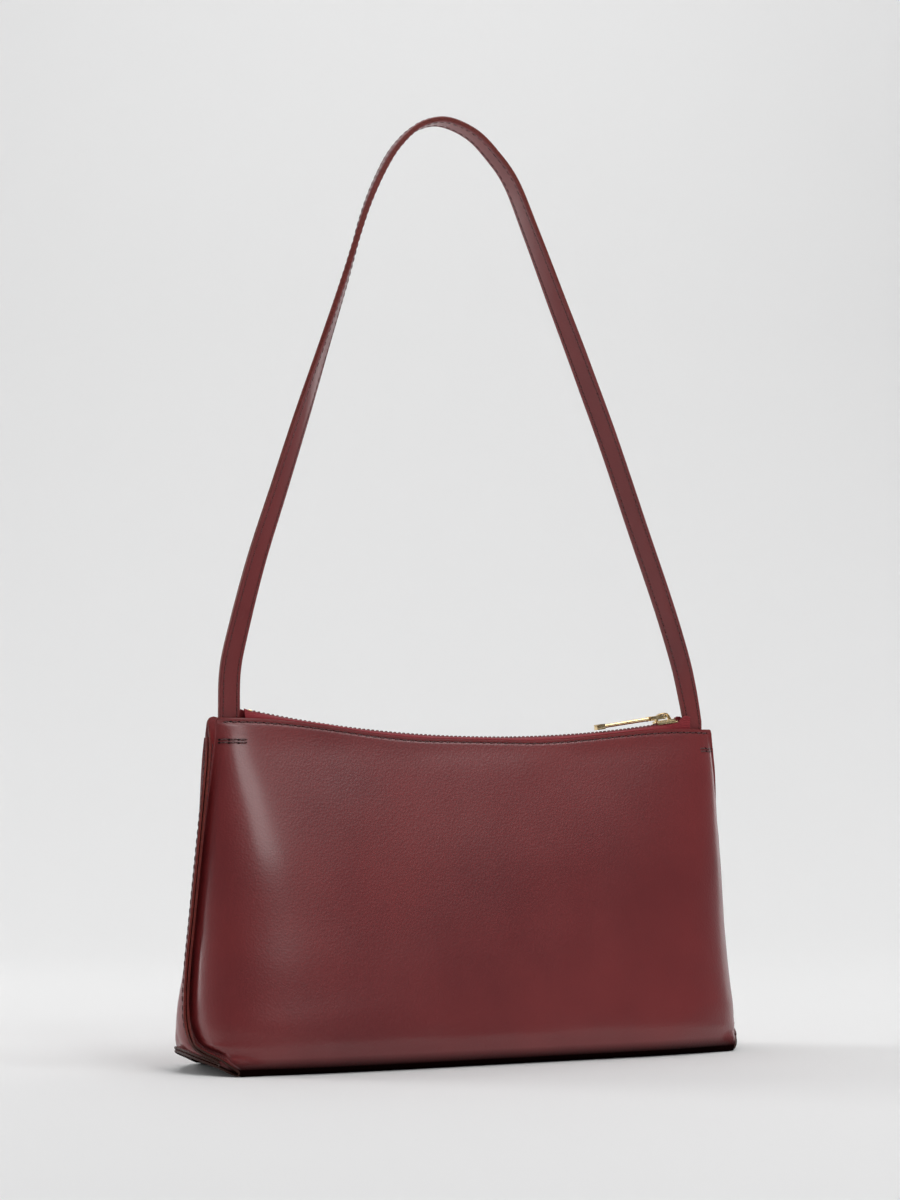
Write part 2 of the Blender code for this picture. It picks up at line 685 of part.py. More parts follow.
def bevelled(item, width, segments=2):
    """Softens the edges of a block."""
    step = item.modifiers.new("Soft edges", "BEVEL")
    step.width = width
    step.segments = segments
    step.limit_method = "ANGLE"


def rod_mesh(name, start, end, radius, sides, axis):
    """A round bar along X or Y between two places."""
    made = bmesh.new()
    length = end - start
    bmesh.ops.create_cone(made, cap_ends=True, segments=sides, radius1=radius, radius2=radius,
                          depth=length)
    turn = Matrix.Rotation(math.pi / 2, 4, "Y" if axis == "X" else "X")
    bmesh.ops.transform(made, matrix=turn, verts=made.verts)
    middle = (start + end) / 2
    shift = (middle, 0, 0) if axis == "X" else (0, middle, 0)
    bmesh.ops.translate(made, vec=shift, verts=made.verts)
    mesh = bpy.data.meshes.new(name)
    made.to_mesh(mesh)
    made.free()
    return mesh


def puller(surface, into, cutters):
    """The pull: a fork on a pin through the bail, a slim rod and a block at its end."""
    inner = BAIL_WIDTH / 2 + CLEARANCE
    outer = inner + PULLER_ARM
    half_thick = COLLAR_THICK / 2
    block_end = COLLAR_FROM + COLLAR_LENGTH
    fork = box_between("puller_fork", (-block_end, -outer, -half_thick),
                       (half_thick, outer, half_thick), surface, into)
    slot = box_between("cut_fork_slot", (-COLLAR_FROM, -inner, -COLLAR_THICK),
                       (COLLAR_THICK, inner, COLLAR_THICK), None, cutters)
    combine(fork, slot, "DIFFERENCE")
    pin_half = outer - RIM / 2
    pin_mesh = rod_mesh("join_pin", -pin_half, pin_half, PIVOT_PIN, 12, "Y")
    pin = add_object("join_pin", pin_mesh, None, cutters)
    combine(fork, pin, "UNION")
    rod_start = -block_end - CLEARANCE
    ferrule_start = -PULLER_REACH + FERRULE_LENGTH
    bar = rod_mesh("puller_rod", ferrule_start + CLEARANCE, rod_start, ROD_RADIUS, 16, "X")
    rod = add_object("puller_rod", bar, surface, into)
    ferrule = box_between("puller_ferrule", (-PULLER_REACH, -FERRULE_WIDTH / 2, -FERRULE_THICK / 2),
                          (ferrule_start, FERRULE_WIDTH / 2, FERRULE_THICK / 2), surface, into)
    bevelled(ferrule, RIM / 2)
    return [fork, rod, ferrule], [slot, pin]


def zip_stops(surface, into):
    """The bottom stop across both rows, and a top stop on each row."""
    reach = TOOTH_ROOT + SPINE
    near = ROW_SPREAD - TOOTH_TIP
    far = ROW_SPREAD + reach
    along = ZIP_HALF - STOP_LENGTH / 2
    for name, x, low, high in (("zip_bottom_stop", -along, -reach, reach),
                               ("zip_top_stop_front", along, -far, -near),
                               ("zip_top_stop_back", along, near, far)):
        item = box_between(name, (-STOP_LENGTH / 2, low, -CHAIN_THICK / 2),
                           (STOP_LENGTH / 2, high, CHAIN_THICK / 2), surface, into)
        item.location = (x, 0, zip_height(x))
        item.rotation_euler = (0, -math.asin(x / ZIP_RADIUS), 0)
        bevelled(item, RIM / 2)


def strap_stations():
    """Middle points and width directions along the strap, from the left end to the right."""
    foot = BODY_HEIGHT + HINGE_RISE
    rise = STRAP_APEX - foot
    left = []
    right = []
    for height, x_left, x_right, twist in zip(STRAP_HEIGHT_SHARES, STRAP_LEFT_SHARES,
                                              STRAP_RIGHT_SHARES, STRAP_TWIST):
        angle = math.radians(twist)
        z = foot + rise * height
        left.append((np.array([x_left * STRAP_BASE_AT, 0, z]),
                     np.array([math.cos(angle), math.sin(angle), 0])))
        right.append((np.array([x_right * STRAP_BASE_AT, 0, z]),
                      np.array([-math.cos(angle), math.sin(angle), 0])))
    apex = (np.array([STRAP_APEX_SHARE * STRAP_BASE_AT, 0, STRAP_APEX]), np.array([0, 1, 0]))
    return left + [apex] + right[::-1]


def strap_path(count):
    """Evenly spaced points, width directions and outward directions along the strap."""
    stations = strap_stations()
    points = np.array([point for point, _ in stations])
    widths = np.array([width for _, width in stations])
    dense = np.linspace(0, len(points) - 1, 40 * len(points))
    fine = np.array([[smooth_at(points[:, k], at) for k in range(3)] for at in dense])
    fine_widths = np.array([[smooth_at(widths[:, k], at) for k in range(3)] for at in dense])
    runs = np.concatenate([[0], np.cumsum(np.linalg.norm(np.diff(fine, axis=0), axis=1))])
    places = np.linspace(0, runs[-1], count)
    middle = np.array([[np.interp(at, runs, fine[:, k]) for k in range(3)] for at in places])
    width = np.array([[np.interp(at, runs, fine_widths[:, k]) for k in range(3)] for at in places])
    along = np.gradient(middle, axis=0)
    along /= np.linalg.norm(along, axis=1, keepdims=True)
    along[0] = (0, 0, 1)
    along[-1] = (0, 0, -1)
    width -= np.sum(width * along, axis=1, keepdims=True) * along
    width /= np.linalg.norm(width, axis=1, keepdims=True)
    # The right leg is walked downward, so one cross product serves both legs
    outward = np.cross(along, width)
    print("strap length", round(float(runs[-1]), 4))
    return middle, width, outward, along


def strap_layers(surface, into):
    """The strap's face and backing, two leathers with a hair of room between them."""
    middle, width, outward, along = strap_path(53)
    gap = CLEARANCE / 2
    full = gap + STRAP_LAYER
    # Both ends go on past the hinge line and close in a half round about it
    closing = [math.radians(angle) for angle in (75, 52, 28)]
    foot = [middle[0] - along[0] * full * math.sin(angle) for angle in closing]
    tail = [middle[-1] + along[-1] * full * math.sin(angle) for angle in reversed(closing)]
    middle = np.vstack([foot, middle, tail])
    width = np.vstack([[width[0]] * 3, width, [width[-1]] * 3])
    outward = np.vstack([[outward[0]] * 3, outward, [outward[-1]] * 3])
    rounding = [full * math.cos(angle) for angle in closing]
    reach = np.array(rounding + [full] * (len(middle) - 6) + rounding[::-1])[:, None]
    made = []
    for name, side in (("strap_face", 1), ("strap_backing", -1)):
        outer = np.stack([middle + width * place * STRAP_WIDTH / 2 + outward * reach * side
                          for place in (-1, 0, 1)], axis=1)
        inner = np.stack([middle + width * place * STRAP_WIDTH / 2 + outward * gap * side
                          for place in (-1, 0, 1)], axis=1)
        made.append(add_object(name, shell_mesh(name, outer, inner), surface, into))
    return made


def strap_ends(surface, into):
    """The sewn ends that stand up out of the body between its two top edges."""
    thick = STRAP_LAYER + CLEARANCE / 2
    top = HINGE_RISE - thick - CLEARANCE
    outline = [(-thick, -TAB_DEPTH)]
    for step in range(9):
        angle = math.pi * (1 - step / 8)
        outline.append((thick * math.cos(angle), top - thick + thick * math.sin(angle)))
    outline.append((thick, -TAB_DEPTH))
    for hand, sign in (("left", -1), ("right", 1)):
        made = bmesh.new()
        for side in (-STRAP_WIDTH / 2, STRAP_WIDTH / 2):
            made.faces.new([made.verts.new((side, a, b)) for a, b in outline])
        made.verts.ensure_lookup_table()
        count = len(outline)
        for index in range(count):
            after = (index + 1) % count
            made.faces.new([made.verts[k] for k in (index, after, count + after, count + index)])
        bmesh.ops.recalc_face_normals(made, faces=made.faces)
        mesh = bpy.data.meshes.new(f"strap_end_{hand}")
        made.to_mesh(mesh)
        made.free()
        item = add_object(f"strap_end_{hand}", mesh, surface, into)
        item.location = (sign * STRAP_BASE_AT, 0, BODY_HEIGHT)


def empty(name, into):
    made = bpy.data.objects.new(name, None)
    into.objects.link(made)
    return made


def build():
    for item in list(bpy.data.objects):
        bpy.data.objects.remove(item, do_unlink=True)
    parts = collection("leather_shoulder_bag", False)
    cutters = collection("cutters", True)

    leather = material("burgundy leather", (0.17, 0.035, 0.036), 0.32)
    strap_leather = material("strap leather", (0.16, 0.034, 0.035), 0.38)
    thread = material("burgundy thread", (0.07, 0.012, 0.014), 0.7)
    tape = material("zip tape", (0.20, 0.018, 0.03), 0.75)
    teeth = material("painted teeth", (0.09, 0.015, 0.02), 0.45)
    gold = material("pale gold", (0.78, 0.58, 0.30), 0.22, 1.0)
    cloth = material("cotton lining", (0.12, 0.03, 0.035), 0.85)
    board = material("base board", (0.05, 0.045, 0.04), 0.9)

    body_sheet(leather, parts)
    gussets(leather, parts)
    inner_layers(leather, cloth, board, parts)
    bar_tacks(thread, parts)
    zip_tapes(tape, parts)
    zip_teeth(teeth, parts)
    zip_stops(gold, parts)

    travel = empty("zip travel", parts)
    slider_frame(travel)
    slider, slider_tools, pivot_z = zip_slider(gold, parts, cutters)
    flip = empty("puller flip", parts)
    flip.parent = travel
    flip.location = (0, 0, pivot_z)
    flip.rotation_euler = (0, -PULLER_DIP, 0)
    pull, pull_tools = puller(gold, parts, cutters)
    for item in [slider] + slider_tools:
        item.parent = travel
    for item in pull + pull_tools:
        item.parent = flip

    fold = empty("strap fold", parts)
    fold.location = (0, 0, BODY_HEIGHT + HINGE_RISE)
    for item in strap_layers(strap_leather, parts):
        item.parent = fold
        item.matrix_parent_inverse = Matrix.Translation(fold.location).inverted()
    strap_ends(strap_leather, parts)

    bpy.context.view_layer.update()
    for item in parts.objects:
        if item.type == "MESH":
            item.data.shade_smooth()
            item.data.set_sharp_from_angle(angle=math.radians(40))


build()
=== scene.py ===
# %% [markdown]
# # A small leather shoulder bag
# The real bag is soft leather, a zip and one narrow strap. Its moving parts were built and
# measured first as plain solids. Here each soft piece is made again with a fine mesh and a
# finish, in the same place, so that the solids give the size and this file gives the looks.

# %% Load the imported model
import json
import math

import bmesh
import bpy
import numpy as np
from mathutils import Matrix, Vector, noise

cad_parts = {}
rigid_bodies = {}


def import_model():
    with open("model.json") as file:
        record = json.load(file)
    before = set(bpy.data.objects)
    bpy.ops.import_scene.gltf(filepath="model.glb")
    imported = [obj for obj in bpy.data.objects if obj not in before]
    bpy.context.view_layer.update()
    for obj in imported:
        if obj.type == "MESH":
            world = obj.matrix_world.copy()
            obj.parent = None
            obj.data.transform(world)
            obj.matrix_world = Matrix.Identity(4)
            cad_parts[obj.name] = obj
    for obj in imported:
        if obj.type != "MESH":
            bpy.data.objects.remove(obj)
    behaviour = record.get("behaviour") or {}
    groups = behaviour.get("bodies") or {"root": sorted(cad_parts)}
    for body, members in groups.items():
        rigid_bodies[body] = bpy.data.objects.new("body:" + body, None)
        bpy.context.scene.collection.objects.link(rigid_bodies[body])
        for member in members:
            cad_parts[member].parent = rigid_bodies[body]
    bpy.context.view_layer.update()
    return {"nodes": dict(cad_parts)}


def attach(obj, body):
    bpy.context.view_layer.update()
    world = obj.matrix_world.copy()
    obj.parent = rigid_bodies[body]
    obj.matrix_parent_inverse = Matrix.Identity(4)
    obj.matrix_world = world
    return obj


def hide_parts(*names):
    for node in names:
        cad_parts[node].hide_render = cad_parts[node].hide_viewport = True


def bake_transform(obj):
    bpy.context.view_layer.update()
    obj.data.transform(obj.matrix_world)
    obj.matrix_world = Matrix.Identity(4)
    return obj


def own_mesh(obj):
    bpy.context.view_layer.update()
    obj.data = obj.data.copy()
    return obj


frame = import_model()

# %% [markdown]
# ## The camera
# The picture was taken from the left and a little above the table, looking slightly up.
# A camera was fitted to the outline of the bag: its place, its two angles and its lens.
# A long lens is used because the bag hardly shrinks from its near end to its far end.

# %% Set up the camera
VIEW_TURN = math.radians(-28)
LOOK_UP = 0.1
camera_data = bpy.data.cameras.new("photo_camera")
camera_data.sensor_width = 36
camera_data.lens = 69.48
camera = bpy.data.objects.new("photo_camera", camera_data)
camera.location = (-0.5481, -1.0085, 0.1092)
camera.rotation_euler = (math.radians(90) + LOOK_UP, 0, VIEW_TURN)
bpy.context.scene.collection.objects.link(camera)
bpy.context.scene.camera = camera
print("camera at", tuple(round(v, 3) for v in camera.location))

# %% [markdown]
# ## Starting a material
# Every finish here is a Principled shader with a few texture nodes in front of it. Object
# coordinates are metres on the real bag, so a texture scale of 1000 means one cell per
# millimetre. A few helpers keep the node code short.

# %% Material helpers
def start_finish(name, roughness, metallic=0.0):
    """A new material, its node tree, its shader and a node with the places on the object."""
    made = bpy.data.materials.new(name)
    made.use_nodes = True
    tree = made.node_tree
    shader = tree.nodes["Principled BSDF"]
    shader.inputs["Roughness"].default_value = roughness
    shader.inputs["Metallic"].default_value = metallic
    place = tree.nodes.new("ShaderNodeTexCoord")
    return made, tree, shader, place


def add_texture(tree, kind, place, **sockets):
    """A texture node fed by a vector, with its sockets set by name."""
    node = tree.nodes.new(kind)
    tree.links.new(place, node.inputs["Vector"])
    for name, value in sockets.items():
        node.inputs[name.replace("_", " ")].default_value = value
    return node


def color_blend(tree, factor, stops):
    """A colour ramp: each stop is a position and a colour."""
    ramp = tree.nodes.new("ShaderNodeValToRGB")
    while len(ramp.color_ramp.elements) < len(stops):
        ramp.color_ramp.elements.new(0.5)
    for element, (position, color) in zip(ramp.color_ramp.elements, stops):
        element.position = position
        element.color = (*color, 1)
    tree.links.new(factor, ramp.inputs["Fac"])
    return ramp.outputs["Color"]


def spread_value(tree, factor, low, high):
    """Turns a texture value between 0 and 1 into one between low and high."""
    node = tree.nodes.new("ShaderNodeMapRange")
    node.inputs["To Min"].default_value = low
    node.inputs["To Max"].default_value = high
    tree.links.new(factor, node.inputs["Value"])
    return node.outputs["Result"]


def share_of_height(tree, place, output, start, stop):
    """0 to 1 as the Z of a coordinate output goes from start to stop."""
    split = tree.nodes.new("ShaderNodeSeparateXYZ")
    tree.links.new(place.outputs[output], split.inputs["Vector"])
    step = tree.nodes.new("ShaderNodeMapRange")
    step.inputs["From Min"].default_value = start
    step.inputs["From Max"].default_value = stop
    tree.links.new(split.outputs["Z"], step.inputs["Value"])
    return step.outputs["Result"]


def math_of(tree, operation, first, second):
    """Two values combined by one operation."""
    node = tree.nodes.new("ShaderNodeMath")
    node.operation = operation
    tree.links.new(first, node.inputs[0])
    tree.links.new(second, node.inputs[1])
    return node.outputs["Value"]


def painted_over(tree, factor, base, over):
    """The base colour, which turns into one fixed colour as the factor goes to 1."""
    mixed = tree.nodes.new("ShaderNodeMix")
    mixed.data_type = "RGBA"
    tree.links.new(factor, mixed.inputs["Factor"])
    tree.links.new(base, mixed.inputs[6])
    mixed.inputs[7].default_value = (*over, 1)
    return mixed.outputs[2]


def add_bump(tree, shader, heights):
    """A chain of bumps into the shader: each is a height output and its depth in metres."""
    normal = None
    for height, depth in heights:
        bump = tree.nodes.new("ShaderNodeBump")
        bump.inputs["Distance"].default_value = depth
        bump.inputs["Strength"].default_value = 1.0
        tree.links.new(height, bump.inputs["Height"])
        if normal is not None:
            tree.links.new(normal, bump.inputs["Normal"])
        normal = bump.outputs["Normal"]
    tree.links.new(normal, shader.inputs["Normal"])

# %% [markdown]
# ## The leather
# Polished calf has a pebbled grain about a millimetre across, which only shows where a
# light is mirrored. So the grain is a shallow bump from Voronoi cells, bent by noise so that
# the cells don't look printed. A slow noise shifts the burgundy and the gloss from place to
# place, as on a hide that has been waxed and handled. Where the leather turns under the base
# and nearly touches the table, almost no light reaches it, so it is made dark and dull there.

# %% Mix the leather
def painted_shade_near_table(tree, place):
    """How much painted shade the leather gets: 1 where it faces the table from close above it or nearly
    touches it, else 0.
    """
    downward = share_of_height(tree, place, "Normal", -0.22, -0.60)
    close = share_of_height(tree, place, "Object", 0.014, 0.009)
    touching = share_of_height(tree, place, "Object", 0.0080, 0.0030)
    return math_of(tree, "MAXIMUM", math_of(tree, "MULTIPLY", downward, close), touching)


def leather_finish(name, dark, light, roughness, grain_depth):
    """Waxed leather between a darker and a lighter burgundy."""
    made, tree, shader, place = start_finish(name, roughness)
    where = place.outputs["Object"]
    slow = add_texture(tree, "ShaderNodeTexNoise", where, Scale=16, Detail=3, Roughness=0.5)
    color = color_blend(tree, slow.outputs["Fac"], [(0.3, dark), (0.7, light)])
    sway = add_texture(tree, "ShaderNodeTexNoise", where, Scale=500, Detail=2)
    bend = tree.nodes.new("ShaderNodeVectorMath")
    bend.operation = "SCALE"
    bend.inputs["Scale"].default_value = 0.0009
    tree.links.new(sway.outputs["Color"], bend.inputs[0])
    bent = tree.nodes.new("ShaderNodeVectorMath")
    tree.links.new(where, bent.inputs[0])
    tree.links.new(bend.outputs["Vector"], bent.inputs[1])
    cells = add_texture(tree, "ShaderNodeTexVoronoi", bent.outputs["Vector"], Scale=950)
    cells.feature = "SMOOTH_F1"
    cells.inputs["Smoothness"].default_value = 0.6
    fine = add_texture(tree, "ShaderNodeTexNoise", where, Scale=2600, Detail=2)
    wave = add_texture(tree, "ShaderNodeTexNoise", where, Scale=70, Detail=2)
    gloss = spread_value(tree, slow.outputs["Fac"], roughness - 0.05, roughness + 0.05)
    tree.links.new(gloss, shader.inputs["Roughness"])
    shader.inputs["Coat Roughness"].default_value = 0.20
    # Painted shade: close to the table the leather turns nearly black and loses its coat and gloss.
    under = painted_shade_near_table(tree, place)
    shaded = painted_over(tree, under, color, (0.006, 0.002, 0.002))
    tree.links.new(shaded, shader.inputs["Base Color"])
    for socket, full in (("Coat Weight", 0.5), ("Specular IOR Level", 0.5)):
        tree.links.new(spread_value(tree, under, full, 0.0), shader.inputs[socket])
    add_bump(tree, shader, [(wave.outputs["Fac"], 0.00008), (fine.outputs["Fac"], grain_depth / 4),
                            (cells.outputs["Distance"], grain_depth)])
    return made


leather = leather_finish("burgundy_leather", (0.15, 0.013, 0.015), (0.20, 0.019, 0.020),
                         roughness=0.42, grain_depth=0.00008)
strap_leather = leather_finish("strap_leather", (0.15, 0.015, 0.016), (0.20, 0.022, 0.022),
                               roughness=0.44, grain_depth=0.00005)
print("leathers mixed:", leather.name, strap_leather.name)

# %% [markdown]
# ## Cut edges, thread and cloth
# A cut edge of leather is painted, a little redder and duller than the face, and a fine
# noise roughens it. Near the table it is made dark by painted shade. Thread is twisted, so a
# wave texture runs slantwise along it, painted lighter on the crowns as highlight and darker
# between them as shade. The zip tape and the lining are woven: two waves at right angles give
# their ribs, with painted shade between the ribs.

# %% Mix the edge paint, thread, tape and lining
def edge_finish(name, color, roughness):
    """A dull, fine-grained paint, with painted shade near the table."""
    made, tree, shader, place = start_finish(name, roughness)
    where = place.outputs["Object"]
    grit = add_texture(tree, "ShaderNodeTexNoise", where, Scale=900, Detail=3)
    dull = tuple(part * 0.6 for part in color)
    shade = color_blend(tree, grit.outputs["Fac"], [(0.35, dull), (0.65, color)])
    # Painted shade: close to the table the cut edge turns dark brown.
    low = share_of_height(tree, place, "Object", 0.018, 0.012)
    painted_low_shade = painted_over(tree, low, shade, (0.040, 0.010, 0.005))
    tree.links.new(painted_low_shade, shader.inputs["Base Color"])
    shader.inputs["Specular IOR Level"].default_value = 0.25
    add_bump(tree, shader, [(grit.outputs["Fac"], 0.0002)])
    return made


def thread_finish(name, color):
    """Twisted thread, with a painted highlight on the crowns of its twist and painted shade between them."""
    made, tree, shader, place = start_finish(name, 0.38)
    where = place.outputs["Object"]
    twist = add_texture(tree, "ShaderNodeTexWave", where, Scale=620, Distortion=1.0)
    twist.bands_direction = "DIAGONAL"
    # Painted highlight: the crowns of the twist are paler, and the hollows keep the darker colour as shade.
    pale = tuple(min(part * 2.4 + 0.01, 1) for part in color)
    shade = color_blend(tree, twist.outputs["Fac"], [(0.25, color), (0.9, pale)])
    tree.links.new(shade, shader.inputs["Base Color"])
    add_bump(tree, shader, [(twist.outputs["Fac"], 0.00012)])
    return made


def woven_finish(name, color, pitch, roughness):
    """Cloth with ribs both ways, a pitch in metres apart, and painted shade between the ribs."""
    made, tree, shader, place = start_finish(name, roughness)
    where = place.outputs["UV"]
    ribs = []
    for direction in ("X", "Y"):
        wave = add_texture(tree, "ShaderNodeTexWave", where, Scale=0.314 / pitch, Distortion=0.6)
        wave.bands_direction = direction
        wave.inputs["Detail Scale"].default_value = 2.0
        ribs.append(wave.outputs["Fac"])
    weave = math_of(tree, "MULTIPLY", *ribs)
    # Painted shade: where the ribs dip, the cloth is drawn darker.
    dark = tuple(part * 0.55 for part in color)
    shade = color_blend(tree, weave, [(0.1, dark), (0.8, color)])
    tree.links.new(shade, shader.inputs["Base Color"])
    shader.inputs["Sheen Weight"].default_value = 0.1
    add_bump(tree, shader, [(weave, pitch / 4)])
    return made


edge_paint = edge_finish("edge_paint", (0.20, 0.034, 0.026), 0.5)
hole_shade = edge_finish("needle_hole_shade", (0.012, 0.003, 0.003), 0.8)
thread = thread_finish("burgundy_thread", (0.05, 0.009, 0.009))
zip_cloth = woven_finish("zip_tape", (0.40, 0.018, 0.030), 0.0005, 0.8)
lining_cloth = woven_finish("cotton_lining", (0.10, 0.022, 0.026), 0.0007, 0.85)
print("small finishes mixed")

# %% [markdown]
# ## Zip teeth and gold metal
# The teeth are painted a darker red than the tape, a little worn here and there. The
# gold is plated metal: a warm tint on a smooth metal shader, with faint polishing lines
# and slow smudges in its roughness, because a perfect mirror looks false.

# %% Mix the tooth paint and the gold
def gold_finish(name):
    """Pale plated gold, polished and lightly smudged."""
    made, tree, shader, place = start_finish(name, 0.2, 1.0)
    where = place.outputs["Object"]
    smudge = add_texture(tree, "ShaderNodeTexNoise", where, Scale=300, Detail=3)
    stops = [(0.3, (0.72, 0.52, 0.27)), (0.7, (0.86, 0.68, 0.40))]
    tint = color_blend(tree, smudge.outputs["Fac"], stops)
    tree.links.new(tint, shader.inputs["Base Color"])
    gloss = spread_value(tree, smudge.outputs["Fac"], 0.14, 0.30)
    tree.links.new(gloss, shader.inputs["Roughness"])
    lines = add_texture(tree, "ShaderNodeTexNoise", where, Scale=2500, Detail=1)
    add_bump(tree, shader, [(lines.outputs["Fac"], 0.00002)])
    return made


def tooth_finish(name):
    """Tooth paint, worn in places."""
    made, tree, shader, place = start_finish(name, 0.38)
    where = place.outputs["Object"]
    worn = add_texture(tree, "ShaderNodeTexNoise", where, Scale=700, Detail=3)
    stops = [(0.4, (0.13, 0.008, 0.012)), (0.75, (0.22, 0.018, 0.022))]
    tint = color_blend(tree, worn.outputs["Fac"], stops)
    tree.links.new(tint, shader.inputs["Base Color"])
    add_bump(tree, shader, [(worn.outputs["Fac"], 0.00008)])
    return made


gold = gold_finish("pale_gold")
tooth_paint = tooth_finish("zip_teeth")
print("gold and tooth paint mixed")

# %% [markdown]
# ## The seam line
# The body is one sheet of leather that wraps from the front top edge, under the base, to
# the back top edge, and each end of it is sewn to a gusset. Everything follows that seam, so
# it is written once: nineteen rows from the top corner down to the middle of the base, as
# shares of the bag's height, half width and half depth. They were read from the picture, and
# the solids have nearly the same ones. The flange and groove are a little smaller here than
# in the solids, and the middle of the front stands a little further forward.

# %% Write down the seam
BODY_HEIGHT = 0.1625
HALF_SEAM = 0.150
HALF_DEPTH = 0.044
LEATHER = 0.0011
CLEARANCE = 0.0003
FLANGE = 0.0032
GROOVE = 0.0014

SEAM_HEIGHT = (1.0, 0.941, 0.862, 0.738, 0.585, 0.431, 0.308, 0.203, 0.132, 0.083,
               0.0615, 0.0455, 0.0283, 0.0117, 0.0123, 0.030, 0.047, 0.0585, 0.0634)
SEAM_WIDTH = (0.917, 0.925, 0.937, 0.954, 0.973, 0.990, 1.004, 1.013, 1.012, 0.998,
              0.976, 0.949, 0.934, 0.914, 0.919, 0.945, 0.979, 1.000, 1.005)
SEAM_DEPTH = (0.027, 0.039, 0.055, 0.068, 0.077, 0.086, 0.095, 0.123, 0.182, 0.284,
              0.432, 0.602, 0.720, 0.770, 0.715, 0.602, 0.386, 0.182, 0.0)
MIDDLE_HEIGHT = (0.951, 0.908, 0.840, 0.726, 0.591, 0.452, 0.332, 0.231, 0.151, 0.095,
                 0.0615, 0.0345, 0.0148, 0.0037, 0.0, 0.0, 0.0, 0.0, 0.0)
MIDDLE_DEPTH = (0.148, 0.197, 0.285, 0.428, 0.590, 0.730, 0.838, 0.918, 0.974, 1.0,
                0.998, 0.984, 0.950, 0.891, 0.800, 0.659, 0.432, 0.216, 0.0)
HEADING = (0, 40, 60, 70, 78, 80, 80, 80, 75, 65, 45, 30, 25, 28, 20, 8, 2, 0, 0)
TURN = (45, 80, 120, 150, 172, 175, 175, 175, 175, 165, 150, 120, 90, 45, 10, 2, 2, 2, 2)
POWER = (9, 12, 10, 8, 7, 6, 6, 6, 6, 5.5, 5, 4.5, 4, 3.5, 3.5, 3, 3, 3, 3)
ROUND = (1, 1.4, 1.8, 2, 2.1, 2.1, 2.1, 2.1, 2.1, 2.1, 2, 1.8, 1.5, 1.2, 1, 1, 1, 1, 1)
FLANGE_SHARE = (1, 1, 1, 1, 1, 1, 1, 1, 1, 1, 0.95, 0.7, 0.35, 0.2, 0.35, 0.7, 0.95, 1, 1)
LIFT = (0, 0, 0, 0, 0, 0, 0, 0.2, 0.6, 1, 1, 1, 1, 1, 1, 1, 1, 1, 1)
LAST = 18
print("rows in the seam's tables:", len(SEAM_HEIGHT), "for a bag", BODY_HEIGHT, "m tall")

# %% [markdown]
# ## The right side and the back
# Only the left half of the front was measured in full. The other three quarters repeat it,
# but a soft bag is never quite even: it leans, so its right side reaches less far below its
# top rows, and so does its back. On the right the flange lies nearly flat and hardly shows.
# Each table gives a row's share of what the left front has.

# %% Write down what differs on the right and behind
RIGHT_SHARE = (1.025, 1.020, 1.013, 0.997, 0.9835, 0.970, 0.959, 0.954, 0.9535, 0.955, 0.9575,
               0.961, 0.957, 0.959, 0.953, 0.952, 0.958, 0.970, 0.984)
BACK_SHARE = (1, 0.999, 0.990, 0.976, 0.966, 0.961, 0.960, 0.963, 0.966, 0.968, 0.967,
              0.960, 0.950, 0.943, 0.948, 0.960, 0.974, 0.987, 1)
RIGHT_FLANGE = (0.15, 0.15, 0.15, 0.15, 0.15, 0.15, 0.15, 0.15, 0.15, 0.15,
                0.12, 0.1, 0.1, 0.15, 0.4, 0.6, 0.7, 0.75, 0.75)
BACK_FLANGE = (0.5, 0.6, 0.7, 0.8, 0.9, 1, 1, 1, 1, 1, 1, 1, 1, 1, 1, 1, 1, 1, 1)
LEAST_FLANGE = 0.08
RIGHT_GROOVE = 0.5
RIGHT_TURN_FROM = 1.5
RIGHT_TURN_ROWS = 6
print("the right side reaches", min(RIGHT_SHARE), "to", max(RIGHT_SHARE), "of the left")

# %% [markdown]
# ## Reading the tables
# Between two rows of a table the value follows a smooth curve through all rows, so that no
# corner shows in the leather. From the tables come the seam's points and, at each of them,
# the direction in which the flange stands out.

# %% Read the seam from its tables
def on_curve(before, start, end, after, t):
    """The place at a share t between start and end, on a curve through all four."""
    slope_in = (end - before) / 2
    slope_out = (after - start) / 2
    curve = 2 * (start - end) + slope_in + slope_out
    bend = 3 * (end - start) - 2 * slope_in - slope_out
    return ((curve * t + bend) * t + slope_in) * t + start


def four_around(rows, row):
    """The row before a place, the two beside it and the row after."""
    last = len(rows) - 1
    return [rows[k] for k in (max(row - 1, 0), row, row + 1, min(row + 2, last))]


def smooth_at(table, at):
    """A value between two rows of a table."""
    row = min(int(at), LAST - 1)
    return on_curve(*four_around(table, row), at - row)


def unit(vector):
    """A vector's direction, with length 1."""
    return vector / np.linalg.norm(vector)


def ease(value):
    """0 below 0, 1 above 1, and a soft step between them."""
    kept = min(max(value, 0.0), 1.0)
    return kept * kept * (3 - 2 * kept)


def seam_point(at):
    """A point of the seam on the front's left side."""
    return np.array([-smooth_at(SEAM_WIDTH, at) * HALF_SEAM, -smooth_at(SEAM_DEPTH, at) * HALF_DEPTH,
                     smooth_at(SEAM_HEIGHT, at) * BODY_HEIGHT])


def turned_share(at, right):
    """On the right the flange lies flat beside the top and turns forward only further down."""
    return ease((at - RIGHT_TURN_FROM) / RIGHT_TURN_ROWS) if right else 1.0


def side_scale(at, right, behind):
    """How far a row reaches to one side, as a share of its reach at the front's left end."""
    scale = smooth_at(RIGHT_SHARE, at) if right else 1.0
    return scale * smooth_at(BACK_SHARE, at) if behind else scale


def to_side(at, right, behind):
    """The factors that take a point of the left front to its own quarter of the bag."""
    mirror = -1 if right else 1
    return np.array([mirror * side_scale(at, right, behind), -1 if behind else 1, 1])


def flange_width(at, right, behind):
    """How far the flange stands out at a row."""
    width = FLANGE * smooth_at(FLANGE_SHARE, at)
    if right:
        width *= max(smooth_at(RIGHT_FLANGE, at), LEAST_FLANGE)
    return width * smooth_at(BACK_FLANGE, at) if behind else width


